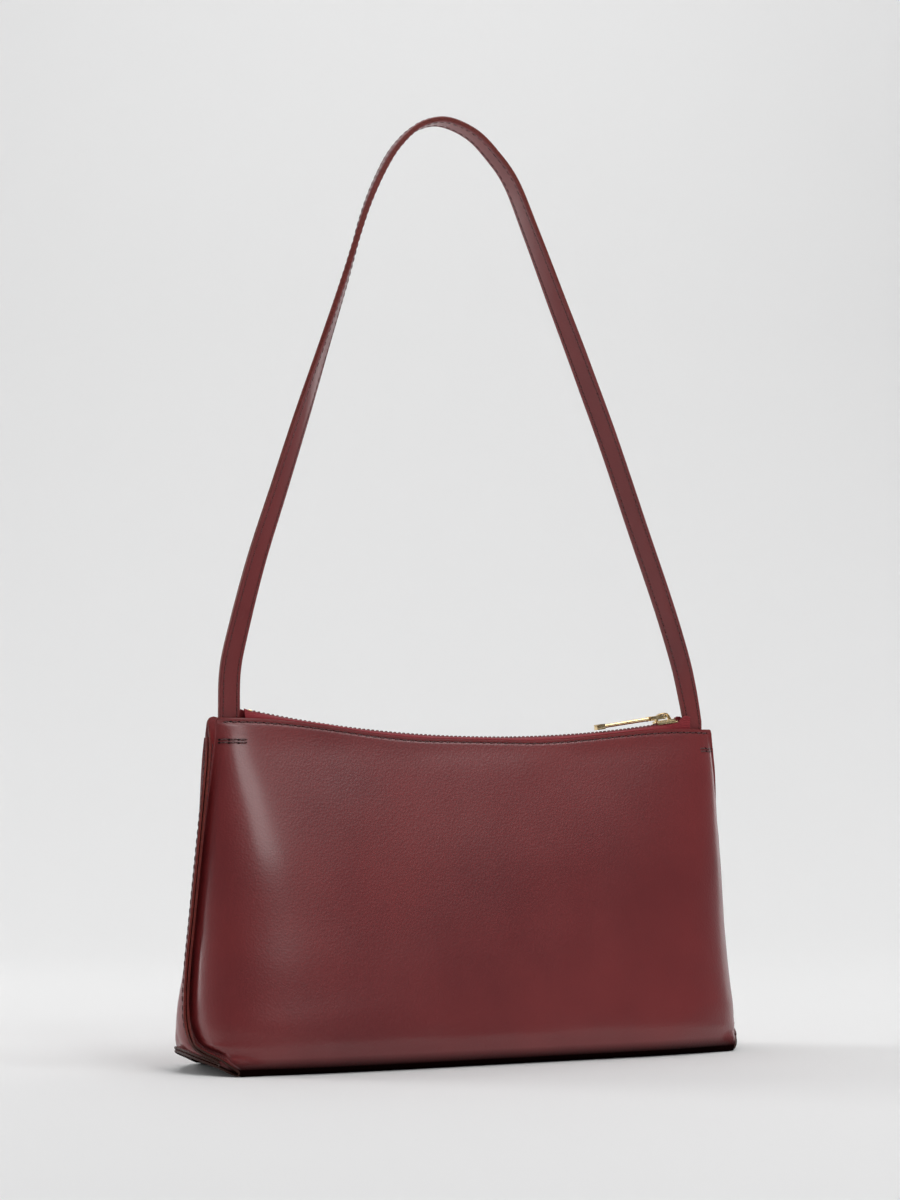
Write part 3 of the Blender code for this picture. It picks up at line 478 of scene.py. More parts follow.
def seam_frame(at, right=False):
    """The seam point, the way its flange stands out, and the sheet's side of it."""
    along = unit(seam_point(min(at + 0.02, LAST)) - seam_point(max(at - 0.02, 0)))
    turn = math.radians(smooth_at(HEADING, at)) * turned_share(at, right)
    hint = np.array([-math.cos(turn), -math.sin(turn), 0.0])
    outward = unit(hint - hint.dot(along) * along)
    return seam_point(at), outward, np.cross(outward, along)


print("seam from", seam_point(0).round(4), "to", seam_point(LAST).round(4))

# %% [markdown]
# ## The sheet between the seams
# Across the bag, the sheet leaves one seam round a small groove, swells to its fullest in
# the middle, and comes back to the other seam. The groove is where the leather was turned
# after sewing. One function gives the outer side of the sheet at any row and at any share
# of the way across.

# %% Describe the sheet's surface
def flange_line(at, right=False, behind=False):
    """From the flange's cut edge, round the groove, to where the face begins."""
    seam, outward, side = seam_frame(at, right)
    root = seam + side * (CLEARANCE / 2 + LEATHER)
    wide = flange_width(at, right, behind)
    points = [root + outward * wide, root + outward * wide * 0.5]
    turn = math.radians(max(smooth_at(TURN, at) * turned_share(at, right), 2))
    reach = GROOVE * (RIGHT_GROOVE if right else 1) / turn
    for share in (0.0, 0.17, 0.34, 0.5, 0.67, 0.84, 1.0):
        angle = turn * share
        points.append(root - outward * reach * math.sin(angle) + side * reach * (1 - math.cos(angle)))
    return points


def face_point(at, share, right=False):
    """The sheet's outer side between its middle line (0) and the groove (1)."""
    end = flange_line(at, right)[-1]
    depth = smooth_at(MIDDLE_DEPTH, at) * HALF_DEPTH
    height = smooth_at(MIDDLE_HEIGHT, at) * BODY_HEIGHT
    fullness = max(1 - share ** smooth_at(POWER, at), 0.0) ** (1 / max(smooth_at(ROUND, at), 1))
    lift = min(max(smooth_at(LIFT, at), 0), 1)
    rise = (1 - lift) * ease((share - 0.18) / 0.72) + lift * share ** 9
    return np.array([end[0] * share, end[1] - (depth + end[1]) * fullness,
                     height + (end[2] - height) * rise])


def sheet_point(at, share):
    """Rows 0 to 36 run from the front top edge to the back one, shares -1 to 1 across."""
    behind = at > LAST
    row = 2 * LAST - at if behind else at
    return face_point(row, abs(share), share > 0) * to_side(row, share > 0, behind)


def sheet_normal(at, share):
    """The direction straight out of the sheet."""
    low, high = max(at - 0.05, 0.0), min(at + 0.05, 2 * LAST)
    down = sheet_point(high, share) - sheet_point(low, share)
    across = sheet_point(at, min(share + 0.004, 1)) - sheet_point(at, max(share - 0.004, -1))
    return unit(np.cross(down, across))


def inside_point(at, share, depth):
    """A point at a depth under the sheet's outer side."""
    return sheet_point(at, share) - sheet_normal(at, share) * depth


print("the sheet is fullest at", sheet_point(9, 0).round(4))

# %% [markdown]
# ## Dents and puckers
# Soft leather is never quite smooth. Two slow noises swell it by less than a millimetre, a
# fine wave puckers it beside the sewn seams, one wave to a stitch, and the top row of
# stitches pulls it in. The swelling fades out toward the edges, where pieces have to meet.

# %% Dent the leather
TOP_STITCH_ROW = 0.27
PUCKER_STEP = 0.0042
SEAM_STEPS = 40
seam_runs = [0.0]
for step in range(1, SEAM_STEPS * LAST + 1):
    moved = seam_point(step / SEAM_STEPS) - seam_point((step - 1) / SEAM_STEPS)
    seam_runs.append(seam_runs[-1] + np.linalg.norm(moved))
print("length of one seam from top to the middle of the base", round(seam_runs[-1], 3))


def relief(at, share, point):
    """How far the leather stands above or below the smooth sheet there, in metres."""
    row = 2 * LAST - at if at > LAST else at
    run = np.interp(row, np.linspace(0, LAST, len(seam_runs)), seam_runs)
    edge = 1 - abs(share)
    swell = noise.noise(Vector((point[0] * 17, at * 0.30, 3.1))) * 0.0007
    swell += noise.noise(Vector((point[0] * 45, at * 0.9, 7.7))) * 0.00018
    calm = ease(edge / 0.12) * ease(row / 1.5) * ease((15.5 - row) / 3)
    pucker = 0.00016 * math.cos(2 * math.pi * run / PUCKER_STEP) * math.exp(-(edge / 0.022) ** 2)
    pucker *= ease((row - 1) / 1.5) * ease((12.5 - row) / 1.5)
    stitched = -0.00022 * math.exp(-((row - TOP_STITCH_ROW) / 0.09) ** 2)
    return swell * calm + pucker + stitched

# %% [markdown]
# ## Sheets with real thickness
# A leather piece is two grids of points, an outer and an inner one, joined round the rim.
# The rim's faces get their own material, because a cut edge looks different from the face.
# A texture map in metres is stored too, so that woven cloth follows the sheet.

# %% Helpers that turn grids into pieces
parts = bpy.data.collections.new("leather_shoulder_bag")
bpy.context.scene.collection.children.link(parts)


def keep_piece(name, mesh, finishes, sharp=50):
    """Puts a mesh in the scene as a named piece with its finishes."""
    made = bpy.data.objects.new(name, mesh)
    for finish in finishes:
        mesh.materials.append(finish)
    parts.objects.link(made)
    mesh.shade_smooth()
    mesh.set_sharp_from_angle(angle=math.radians(sharp))
    return made


def mesh_of(made, name, outward=True):
    """Finished mesh data, by default with all faces looking outward."""
    if outward:
        bmesh.ops.recalc_face_normals(made, faces=made.faces)
    mesh = bpy.data.meshes.new(name)
    made.to_mesh(mesh)
    made.free()
    return mesh


def join_rings(made, rings, turned=False):
    """Faces between neighbouring rings of points, and one over each end."""
    count = len(rings[0])
    quads = [made.faces.new((low[k], low[(k + 1) % count], high[(k + 1) % count], high[k]))
             for low, high in zip(rings, rings[1:]) for k in range(count)]
    made.faces.new(rings[0][::-1] if turned else rings[0])
    made.faces.new(rings[-1])
    return quads


def run_lengths(points):
    """How far along a line each of its points lies."""
    return np.cumsum(np.r_[0, np.linalg.norm(np.diff(points, axis=0), axis=1)])


def grid_normals(grid):
    """The direction out of a grid of points, at each of them."""
    down = np.gradient(grid, axis=0)
    across = np.gradient(grid, axis=1)
    normals = np.cross(down, across)
    return normals / np.maximum(np.linalg.norm(normals, axis=2, keepdims=True), 1e-12)


RIM_ROUNDING = 0.25


def sheet_piece(name, outer, inner, face, rim):
    """A closed sheet between two grids, with a slightly rounded rim."""
    rows, columns = outer.shape[:2]
    made = bmesh.new()
    metres = made.loops.layers.uv.new("metres")
    runs_u = run_lengths(outer[rows // 2])
    runs_v = run_lengths(outer[:, columns // 2])
    top, bottom = [[[made.verts.new(tuple(p)) for p in line] for line in grid] for grid in (outer, inner)]

    def add_face(corners, places, material):
        quad = made.faces.new(corners)
        quad.material_index = material
        for loop, (r, c) in zip(quad.loops, places):
            loop[metres].uv = (runs_u[c], runs_v[r])

    for r in range(rows - 1):
        for c in range(columns - 1):
            places = [(r, c), (r + 1, c), (r + 1, c + 1), (r, c + 1)]
            add_face([top[a][b] for a, b in places], places, 0)
            add_face([bottom[a][b] for a, b in reversed(places)], places[::-1], 0)
    rim_places = [(r, 0) for r in range(rows)] + [(rows - 1, c) for c in range(1, columns)]
    rim_places += [(r, columns - 1) for r in range(rows - 2, -1, -1)]
    rim_places += [(0, c) for c in range(columns - 2, 0, -1)]
    middle = {}
    for r, c in rim_places:
        nearby = (min(max(r, 1), rows - 2), min(max(c, 1), columns - 2))
        between = (outer[r, c] + inner[r, c]) / 2
        thick = np.linalg.norm(outer[r, c] - inner[r, c])
        away = unit(outer[r, c] - outer[nearby]) * thick * RIM_ROUNDING
        middle[(r, c)] = made.verts.new(tuple(between + away))
    for here, after in zip(rim_places, rim_places[1:] + rim_places[:1]):
        (r, c), (r_after, c_after) = here, after
        places = [here, here, after, after]
        add_face([top[r][c], middle[here], middle[after], top[r_after][c_after]], places, 1)
        add_face([middle[here], bottom[r][c], bottom[r_after][c_after], middle[after]], places, 1)
    return keep_piece(name, mesh_of(made, name), [face, rim])


def thick_sheet(name, outer, thickness, face, rim):
    """A sheet that keeps one thickness under its outer side."""
    return sheet_piece(name, outer, outer - grid_normals(outer) * thickness, face, rim)

# %% [markdown]
# ## The wrapped body
# The grid is finest where the form turns fastest: at the top hem, in the groove and round
# the base corners. Real leather would be draped and simulated from a flat cut. Here the
# form is known from the picture, so it is written directly and only dented by `relief`.
# At the top the sheet's corners are cut round, more on the left than on the right.

# %% Make the body sheet
front_rows = [0, 0.06, 0.12, 0.18, 0.24, 0.30, 0.36, 0.42, 0.5, 0.6, 0.7, 0.85]
front_rows += list(np.arange(1.0, 9.0, 0.25)) + list(np.arange(9.0, 16.0, 0.2))
front_rows += list(np.arange(16.0, 18.01, 0.5))
body_rows = front_rows + [2 * LAST - row for row in reversed(front_rows[:-1])]
half_shares = np.sin(np.linspace(0, math.pi / 2, 40)) * 0.6 + np.linspace(0, 1, 40) * 0.4
CORNER_CUT = 0.0028
CUT_ROWS = 0.35
RIGHT_CUT = 0.3


def body_line(at):
    """One line of the body sheet from its left cut edge to its right one."""
    behind = at > LAST
    row = 2 * LAST - at if behind else at
    cut = CORNER_CUT * (1 - math.sqrt(1 - (1 - min(row / CUT_ROWS, 1)) ** 2))
    edges = []
    for right in (False, True):
        inward = np.array([cut * (RIGHT_CUT if right else 1), 0, 0])
        line = flange_line(row, right, behind)[:-1]
        edges.append([(point + inward * (1 - k / len(line))) * to_side(row, right, behind)
                      for k, point in enumerate(line)])
    left = []
    right = []
    for share in half_shares[::-1]:
        for side, line in ((-1, left), (1, right)):
            point = sheet_point(at, side * share)
            dent = relief(at, side * share, point)
            line.append(point + sheet_normal(at, side * share) * dent)
    return edges[0] + left + right[::-1][1:] + edges[1][::-1]


body_grid = np.array([body_line(row) for row in body_rows])
body_grid[:, :, 2] = np.maximum(body_grid[:, :, 2], 0)
body = thick_sheet("body_leather", body_grid, LEATHER, leather, edge_paint)
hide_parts("body_panel")
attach(body, "bag")
print("body sheet grid", body_grid.shape[:2])

# %% [markdown]
# ## The gussets
# Each end of the bag is a second piece of leather: narrow at the top and opening like a
# trumpet toward the base. It is sewn with its cut edge beside the body's cut edge, so the
# two stand out together as the flange. A few lines across it are enough to give its form,
# and a smooth curve is drawn through them.

# %% Describe the gussets
GUSSET_HEIGHT = (0.941, 0.862, 0.738, 0.585, 0.431, 0.314, 0.222, 0.172, 0.138, 0.110, 0.085)
GUSSET_WIDTH = (0.926, 0.938, 0.952, 0.968, 0.986, 1.008, 1.026, 1.0325, 1.0325, 1.031, 1.026)


def base_end_line(right, share):
    """A line along the base's end seam, from front to back, at a share of the flange out."""
    halves = []
    for behind in (False, True):
        half = []
        for at in np.linspace(15, LAST, 16):
            seam, outward, _ = seam_frame(at, right)
            point = seam + outward * flange_width(at, right, behind) * share
            half.append(point * (side_scale(at, right, behind), -1 if behind else 1, 1))
        halves.append(half)
    return halves[0] + halves[1][-2::-1]


def gusset_lines(right):
    """The control lines from the gusset's top down to the seam under the base's end."""
    base_line = base_end_line(right, 0.0)
    places = [point[1] / abs(base_line[0][1]) for point in base_line]
    lines = []
    for row in range(1, 12):
        seam, outward, _ = seam_frame(row, right)
        scales = [side_scale(row, right, behind) for behind in (False, True)]
        tips = [seam + outward * flange_width(row, right, behind) for behind in (False, True)]
        middle_x = -GUSSET_WIDTH[row - 1] * HALF_SEAM
        middle_z = GUSSET_HEIGHT[row - 1] * BODY_HEIGHT
        line = [tips[0] * (scales[0], 1, 1)]
        for place in places:
            x = seam[0] + (middle_x - seam[0]) * (1 - place ** 2)
            z = seam[2] + (middle_z - seam[2]) * (1 - abs(place)) ** 1.5
            scale = scales[0] + (scales[1] - scales[0]) * (place + 1) / 2
            line.append(np.array([x * scale, seam[1] * -place, z]))
        lines.append(line + [tips[1] * (scales[1], -1, 1)])
    fold_line = base_end_line(right, 0.9)
    edge = base_end_line(right, 1.0)
    away = np.array([0, CLEARANCE * 3, 0])
    lines.append([fold_line[0] - away] + base_line + [fold_line[-1] + away])
    lines.append([edge[0] - away] + edge + [edge[-1] + away])
    return np.array(lines)


def curve_rows(lines, steps):
    """More lines between the given ones, on a curve through them."""
    made = []
    for row in range(len(lines) - 1):
        made += [on_curve(*four_around(lines, row), step / steps) for step in range(steps)]
    return np.array(made + [lines[-1]])


print("gusset lines to draw through:", len(gusset_lines(False)))

# %% [markdown]
# ## Folds at the base corners
# Where the seam turns under the base, the gusset has more leather than the corner needs, and
# the spare part stands out as a small bulging fold. It is drawn across pairs of seam points,
# one above and one below the corner, which draw together until they meet.

# %% Describe a corner fold
FOLD_FROM = 11
FOLD_TO = 15
FOLD_REACH = 0.3
FOLD_BULGE = 0.0012


def corner_fold(right, behind):
    """A grid over one base corner, from its widest line to its tip."""
    fold = []
    for step in np.linspace(0, 1, 13):
        drawn_in = (FOLD_TO - FOLD_FROM) / 2 * step
        ends = []
        for at in (FOLD_FROM + drawn_in, FOLD_TO - drawn_in):
            seam, outward, _ = seam_frame(at, right)
            point = seam + outward * flange_width(at, right, behind) * FOLD_REACH
            ends.append(point * to_side(at, right, behind))
        bulge = np.array([(FOLD_BULGE if right else -FOLD_BULGE) * (1 - step), 0, 0])
        fold.append([ends[0] + (ends[1] - ends[0]) * share + bulge * 4 * share * (1 - share)
                     for share in np.linspace(0, 1, 7)])
    fold = np.array(fold)
    return fold if right == behind else fold[:, ::-1]


print("fold at a base corner:", corner_fold(False, False).shape[:2])

# %% [markdown]
# ## Cut and fold the gussets
# Both gussets come from the same lines: the right one is the left one in a mirror, apart
# from how far it reaches. Each gets its thickness outward from the lines, and its two folds.

# %% Make the gussets
for hand, mirror in (("left", 1), ("right", -1)):
    control = gusset_lines(hand == "right")
    gusset_grid = np.concatenate([curve_rows(control[:-1], 5), control[-1:]])
    gusset_out = -grid_normals(gusset_grid)
    flip = np.array([mirror, 1, 1])
    grids = [(gusset_grid + gusset_out * depth)[:, ::mirror] * flip
             for depth in (CLEARANCE + LEATHER, CLEARANCE)]
    gusset = sheet_piece(f"gusset_{hand}_leather", grids[0], grids[1], leather, edge_paint)
    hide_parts(f"gusset_{hand}")
    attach(gusset, "bag")
    for behind, side in ((False, "front"), (True, "back")):
        fold_grid = corner_fold(hand == "right", behind)
        fold = thick_sheet(f"gusset_fold_{hand}_{side}", fold_grid, LEATHER * 0.7, leather, edge_paint)
        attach(fold, "bag")
print("gusset grid", gusset_grid.shape[:2])

# %% [markdown]
# ## Facings, lining and base board
# Inside the mouth a strip of leather hides the zip tape's edge, and below it a cotton
# lining covers the rest. They lie against the body sheet, so both are the same surface
# drawn a little deeper. The stiff board between lining and base never shows, so its solid
# stays and only gets a paper finish.

# %% Make the inner layers
TAPE = 0.0006
BOARD = 0.0012
facing_depth = LEATHER + 2 * CLEARANCE + TAPE
lining_depth = LEATHER + BOARD + 3 * CLEARANCE
facing_rows = np.linspace(0.4, 2.2, 13)
lining_rows = np.concatenate([np.linspace(2.4, 9, 24), np.linspace(9.25, 17.94, 40)])
layers = (("facing", "strip", facing_rows, 0.90, facing_depth, 0.0009, leather, "burgundy_leather"),
          ("lining", "cloth", lining_rows, 0.93, lining_depth, 0.0005, lining_cloth, "cotton_lining"))
for side in ("front", "back"):
    for name, kind, rows, reach, near, thick, finish, slot in layers:
        at_rows = rows if side == "front" else 2 * LAST - rows[::-1]
        shares = np.linspace(-reach, reach, 61)
        outer = np.array([[inside_point(r, s, near) for s in shares] for r in at_rows])
        inner = np.array([[inside_point(r, s, near + thick) for s in shares] for r in at_rows])
        layer = sheet_piece(f"{name}_{side}_{kind}", outer, inner, finish, finish)
        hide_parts(f"{name}_{side}")
        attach(layer, "bag")

board_paper = edge_finish("base_board", (0.16, 0.12, 0.08), 0.85)
board = frame["nodes"]["base_board"]
board.data.materials.clear()
board.data.materials.append(board_paper)
print("inner layers made")

# %% [markdown]
# ## Stitches
# A machine stitch is a short length of thread that dives into a needle hole at each end.
# One function lays any row of them: it walks along a line on the leather, and at each step
# sets a small tapered body of thread with a dark disc after it, painted shade for the needle
# hole. Each is turned a few degrees, as twisted thread pulls it.

# %% A function that sews
STITCH_RINGS = ((-1.0, 0.35, -0.9), (-0.86, 0.8, -0.1), (-0.5, 1.0, 0.3), (0.0, 1.05, 0.4),
                (0.5, 1.0, 0.3), (0.86, 0.8, -0.1), (1.0, 0.35, -0.9))


def round_steps(count):
    """Angles evenly spaced round a circle."""
    return np.linspace(0, 2 * math.pi, count + 1)[:-1]


def along_line(line, runs, at):
    """The place on a line at a length along it."""
    return np.array([np.interp(at, runs, line[:, k]) for k in range(3)])


def sew(name, points, normals, pitch, thick, slant=7, share=0.78):
    """A row of stitches along points, standing on the surface given by normals."""
    points = np.array(points)
    normals = np.array(normals)
    runs = run_lengths(points)
    count = max(int(runs[-1] / pitch), 1)
    gap = runs[-1] / count
    half = gap * share / 2
    turn = math.radians(slant)
    made = bmesh.new()
    for index in range(count):
        at = (index + 0.5) * gap
        centre = along_line(points, runs, at)
        up = unit(along_line(normals, runs, at))
        straight = unit(along_line(points, runs, at + gap / 4) - along_line(points, runs, at - gap / 4))
        sideways = np.cross(up, straight)
        along = straight * math.cos(turn) + sideways * math.sin(turn)
        across = sideways * math.cos(turn) - straight * math.sin(turn)
        rings = []
        for place, wide, lift in STITCH_RINGS:
            middle = centre + along * half * place + up * thick * (lift + 0.15)
            rings.append([made.verts.new(tuple(middle + across * thick * wide * math.cos(a)
                                               + up * thick * wide * 0.8 * math.sin(a)))
                          for a in round_steps(6)])
        join_rings(made, rings, turned=True)
        # Painted shade: each needle hole is a flat dark disc on the leather.
        hole_at = centre + along * gap / 2 + up * thick * 0.12
        hole = [hole_at + (along * math.cos(a) * 1.9 + across * math.sin(a) * 1.4) * thick
                for a in round_steps(8)]
        made.faces.new([made.verts.new(tuple(point)) for point in hole]).material_index = 1
    return keep_piece(name, mesh_of(made, name, outward=False), [thread, hole_shade]), count


print("a stitch is drawn from", len(STITCH_RINGS), "rings of 6 points")

# %% [markdown]
# ## Sew the body
# A row runs just under each top edge. Another goes through both layers of each flange, so it
# shows on the body's face of the flange and on the gusset's. On the right the body's face is
# too narrow for thread at the top, so there the row starts further down.

# %% Sew the top edges and the flanges
STITCH_PITCH = 0.0040
FLANGE_ROW_TO = 11.4
FLANGE_ROW_AT = 0.42


def top_row(behind):
    """The stitch line under a top edge."""
    row = 2 * LAST - TOP_STITCH_ROW if behind else TOP_STITCH_ROW
    shares = np.linspace(-0.985, 0.985, 160)
    points = []
    for share in shares:
        point = sheet_point(row, share)
        points.append(point + sheet_normal(row, share) * relief(row, share, point))
    return points, [sheet_normal(row, share) for share in shares]


def flange_row(hand, behind, leather_side):
    """The stitch line on one face of the flange: the body's (1) or the gusset's (-1)."""
    right = hand < 0
    points = []
    normals = []
    deep = CLEARANCE / 2 + LEATHER if leather_side > 0 else CLEARANCE + LEATHER
    row_from = 4.0 if right and leather_side > 0 else 1.2
    turned = np.array([hand, -1 if behind else 1, 1])
    for at in np.linspace(row_from, FLANGE_ROW_TO, 150):
        seam, outward, side = seam_frame(at, right)
        reach = flange_width(at, right, behind) * FLANGE_ROW_AT
        on_face = seam + side * deep * leather_side + outward * reach
        points.append(on_face * to_side(at, right, behind))
        normals.append(side * turned * leather_side)
    return points, normals


sewn = 0
for behind, side in ((False, "front"), (True, "back")):
    row, count = sew(f"top_stitches_{side}", *top_row(behind), STITCH_PITCH, 0.00036)
    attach(row, "bag")
    sewn += count
    for hand, hand_name in ((1, "left"), (-1, "right")):
        for leather_side, face_name in ((1, "body"), (-1, "gusset")):
            line = flange_row(hand, behind, leather_side)
            row, count = sew(f"flange_stitches_{side}_{hand_name}_{face_name}", *line, STITCH_PITCH, 0.00032)
            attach(row, "bag")
            sewn += count
print("stitches in the body:", sewn)

# %% [markdown]
# ## Under the base
# The flange goes on under each end of the base, and so does its thread, from one corner to
# the other. It lies close to the table, so this row is a little thinner.

# %% Sew the ends of the base
BASE_ROW_FROM = 14.6
for hand, hand_name in ((1, "left"), (-1, "right")):
    right = hand < 0
    points = []
    normals = []
    for at in np.linspace(BASE_ROW_FROM, 2 * LAST - BASE_ROW_FROM, 80):
        behind = at > LAST
        row = 2 * LAST - at if behind else at
        seam, outward, side = seam_frame(row, right)
        on_face = seam + side * (CLEARANCE / 2 + LEATHER) + outward * flange_width(row, right, behind) * 0.5
        points.append(on_face * to_side(row, right, behind))
        normals.append(side * np.array([hand, -1 if behind else 1, 1]))
    row, count = sew(f"base_stitches_{hand_name}", points, normals, STITCH_PITCH, 0.00026)
    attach(row, "bag")
print("base ends sewn,", count, "stitches each")

# %% [markdown]
# ## Bar tacks
# Beside each strap end two short rows of thread go right through the body and hold the
# strap in. Their stitches are shorter and closer than the rest, and there are fewer on the
# right, as in the picture.

# %% Sew the bar tacks
TACK_PITCH = 0.0034
TACK_ROWS = (1.03, 1.16)
TACK_SPAN = {"left": (0.898, 0.992), "right": (0.929, 0.995)}
for behind, side in ((False, "front"), (True, "back")):
    for hand, hand_name in ((-1, "left"), (1, "right")):
        shares = np.linspace(*TACK_SPAN[hand_name], 12) * hand
        for line, row in enumerate(TACK_ROWS):
            at = 2 * LAST - row if behind else row
            points = [sheet_point(at, share) for share in shares]
            normals = [sheet_normal(at, share) for share in shares]
            tack, count = sew(f"bar_tack_{side}_{hand_name}_{line}", points, normals,
                              TACK_PITCH, 0.00036, slant=4, share=0.86)
            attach(tack, "bag")
        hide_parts(f"bar_tack_{side}_{hand_name}")
        print("bar tack", side, hand_name, "of", len(TACK_ROWS), "rows of", count)

# %% [markdown]
# ## The zip's arc
# The mouth dips in the middle, so the zip hangs in a shallow arc: a circle of 0.7 m whose
# lowest point is in the middle of the bag. The slider stands near the right end, and the two
# rows of teeth part where it stands. These few numbers place tapes, teeth and slider.

# %% Place the zip
ZIP_RADIUS = 0.700006
ZIP_LOW = 0.1554375
ZIP_HALF = 0.120505
SLIDER_AT = 0.113505
SLIDER_LENGTH = 0.0112
TOOTH_PITCH = 0.0024
ROW_SPREAD = 0.0016
TOOTH_ROOT = 0.0012
CORD = 0.0007
STOP_LENGTH = 0.0022


def zip_height(x):
    """The height of the tooth line."""
    return ZIP_LOW + ZIP_RADIUS - math.sqrt(ZIP_RADIUS ** 2 - x ** 2)


def row_spread(x):
    """How far a row of teeth stands off the middle, where the slider parts them."""
    tail = SLIDER_AT - SLIDER_LENGTH / 5
    return ROW_SPREAD * ease((x - tail) / (SLIDER_LENGTH / 2))


def on_zip(x, y, rise):
    """A point beside and above the tooth line."""
    angle = math.asin(x / ZIP_RADIUS)
    radius = ZIP_RADIUS - rise
    return np.array([radius * math.sin(angle), y, ZIP_LOW + ZIP_RADIUS - radius * math.cos(angle)])


print("zip rises", round(zip_height(ZIP_HALF) - ZIP_LOW, 4), "m from middle to end")

# %% [markdown]
# ## The tapes
# Each tape is a woven ribbon. It carries the teeth on a cord along one edge, rolls over the
# body's top edge and runs down between body and facing, where the top stitches hold it. At
# its ends the spare tape is folded up a little and tucked in beside the strap.

# %% Weave the tapes
TAPE_FROM = -0.1243
TAPE_TO = 0.1292
TAPE_ROWS = (0.0, 0.05, 0.12, 0.25, 0.45, 0.8)
tape_depth = LEATHER + CLEARANCE + TAPE / 2


def end_lift(x):
    """How far the tape's spare end is folded up beside the strap."""
    if x > ZIP_HALF:
        return 0.0027 * math.sin(math.pi * (x - ZIP_HALF) / (TAPE_TO - ZIP_HALF)) ** 0.7
    if x < -ZIP_HALF:
        return 0.0008 * math.sin(math.pi * (x + ZIP_HALF) / (TAPE_FROM + ZIP_HALF))
    return 0.0


tape_places = np.linspace(TAPE_FROM, TAPE_TO, 171)[1:-1]
for side, mirror in (("front", 1), ("back", -1)):
    tape_lines = []
    for x in tape_places:
        rows = [row if mirror > 0 else 2 * LAST - row for row in TAPE_ROWS]
        share = x / abs(sheet_point(rows[0], math.copysign(1, x))[0])
        edge = on_zip(x, -mirror * (row_spread(x) + TOOTH_ROOT + CORD + CLEARANCE), end_lift(x))
        top = inside_point(rows[0], share, tape_depth) + np.array([0, 0, 0.0009])
        ripple = noise.noise(Vector((x * 60, 1.3, 0.0))) * 0.00025
        between = edge + (top - edge) * 0.55 + np.array([0, 0, 0.0003 + ripple])
        down = [inside_point(row, share, tape_depth) for row in rows[1:]]
        tape_lines.append([edge, edge + (between - edge) * 0.5, between, (between + top) / 2, top] + down)
    tape_grid = np.array(tape_lines)
    normals = grid_normals(tape_grid)
    grids = [tape_grid + normals * TAPE / 2 * k for k in (1, -1)]
    tape = sheet_piece(f"zip_tape_{side}_woven", grids[0], grids[1], zip_cloth, zip_cloth)
    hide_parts(f"zip_tape_{side}")
    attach(tape, "bag")
    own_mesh(tape)
print("tapes woven")

# %% [markdown]
# ## The teeth
# Each tooth is a small clamp: a body on the tape's cord and a rounder head that meshes with
# the opposite row. One tooth is described by a few rounded sections and then repeated along
# the arc, at half a step's offset between the rows. The front row's teeth stand taller, so
# that they show above the leather's edge, as they do in the picture.

# %% Make one tooth and repeat it
TOOTH_SECTIONS = ((0.00165, 0.40, 0.60), (0.00140, 0.52, 0.92), (0.0008, 0.50, 1.0),
                  (0.0003, 0.36, 0.95), (-0.0001, 0.44, 0.95), (-0.00038, 0.50, 0.92),
                  (-0.00056, 0.40, 0.70))
TOOTH_WIDTH = 0.0010
TOOTH_REACH = 0.00098
TOOTH_DROP = 0.0010
FRONT_RISE = 0.0012
BACK_RISE = 0.0007
CORD_AT = 0.00165


def squared(value):
    """Pushes a cosine or sine outward, so that a circle becomes a rounded square."""
    return math.copysign(abs(value) ** 0.6, value)


def tooth_into(made, x, side, rise_up):
    """One tooth, added to a mesh at a place along the zip."""
    rings = []
    for y, wide, tall in TOOTH_SECTIONS:
        ring = []
        for step in range(10):
            angle = 2 * math.pi * step / 10
            across = squared(math.cos(angle)) * wide * TOOTH_REACH
            rise = squared(math.sin(angle)) * tall
            rise *= rise_up if rise > 0 else TOOTH_DROP
            ring.append(made.verts.new(tuple(on_zip(x + across, side * (y + row_spread(x)), rise))))
        rings.append(ring)
    join_rings(made, rings)


def tooth_row(name, side, shift, rise_up):
    """A row of teeth and the cord that carries them."""
    made = bmesh.new()
    count = int(2 * (ZIP_HALF - STOP_LENGTH) / TOOTH_PITCH) - 1
    first = -count * TOOTH_PITCH / 2 + shift
    for index in range(count):
        tooth_into(made, first + index * TOOTH_PITCH + TOOTH_WIDTH / 2, side, rise_up)
    rings = []
    for x in np.linspace(first, first + count * TOOTH_PITCH, 220):
        ring = []
        for step in range(8):
            angle = 2 * math.pi * step / 8
            y = CORD_AT + 0.00034 * math.cos(angle) + row_spread(x)
            ring.append(made.verts.new(tuple(on_zip(x, side * y, 0.0006 * math.sin(angle)))))
        rings.append(ring)
    join_rings(made, rings)
    return keep_piece(name, mesh_of(made, name), [tooth_paint], 40), count


for side_name, side, shift, tall_up in (("front", -1, -TOOTH_PITCH / 4 - TOOTH_WIDTH / 2, FRONT_RISE),
                                        ("back", 1, TOOTH_PITCH / 4 - TOOTH_WIDTH / 2, BACK_RISE)):
    teeth, count = tooth_row(f"zip_teeth_{side_name}_row", side, shift, tall_up)
    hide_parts(f"zip_teeth_{side_name}")
    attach(teeth, "bag")
    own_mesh(teeth)
print("teeth in each row:", count)

# %% [markdown]
# ## The stops
# Three small metal clamps end the rows: two at the top and one at the bottom. The solids
# have the right shape already, so they stay and only get the gold.

# %% Gild the stops
for stop in ("zip_bottom_stop", "zip_top_stop_front", "zip_top_stop_back"):
    node = frame["nodes"][stop]
    node.data.materials.clear()
    node.data.materials.append(gold)
print("three stops in gold")

# %% [markdown]
# ## The slider
# The slider is two small plates held apart by a wedge at the wide end, with side lips that
# guide the teeth and a low arch on top, the bail, which holds the pull. It is drawn in its
# own straight axes, X along the zip and Z up, and then turned onto the arc.

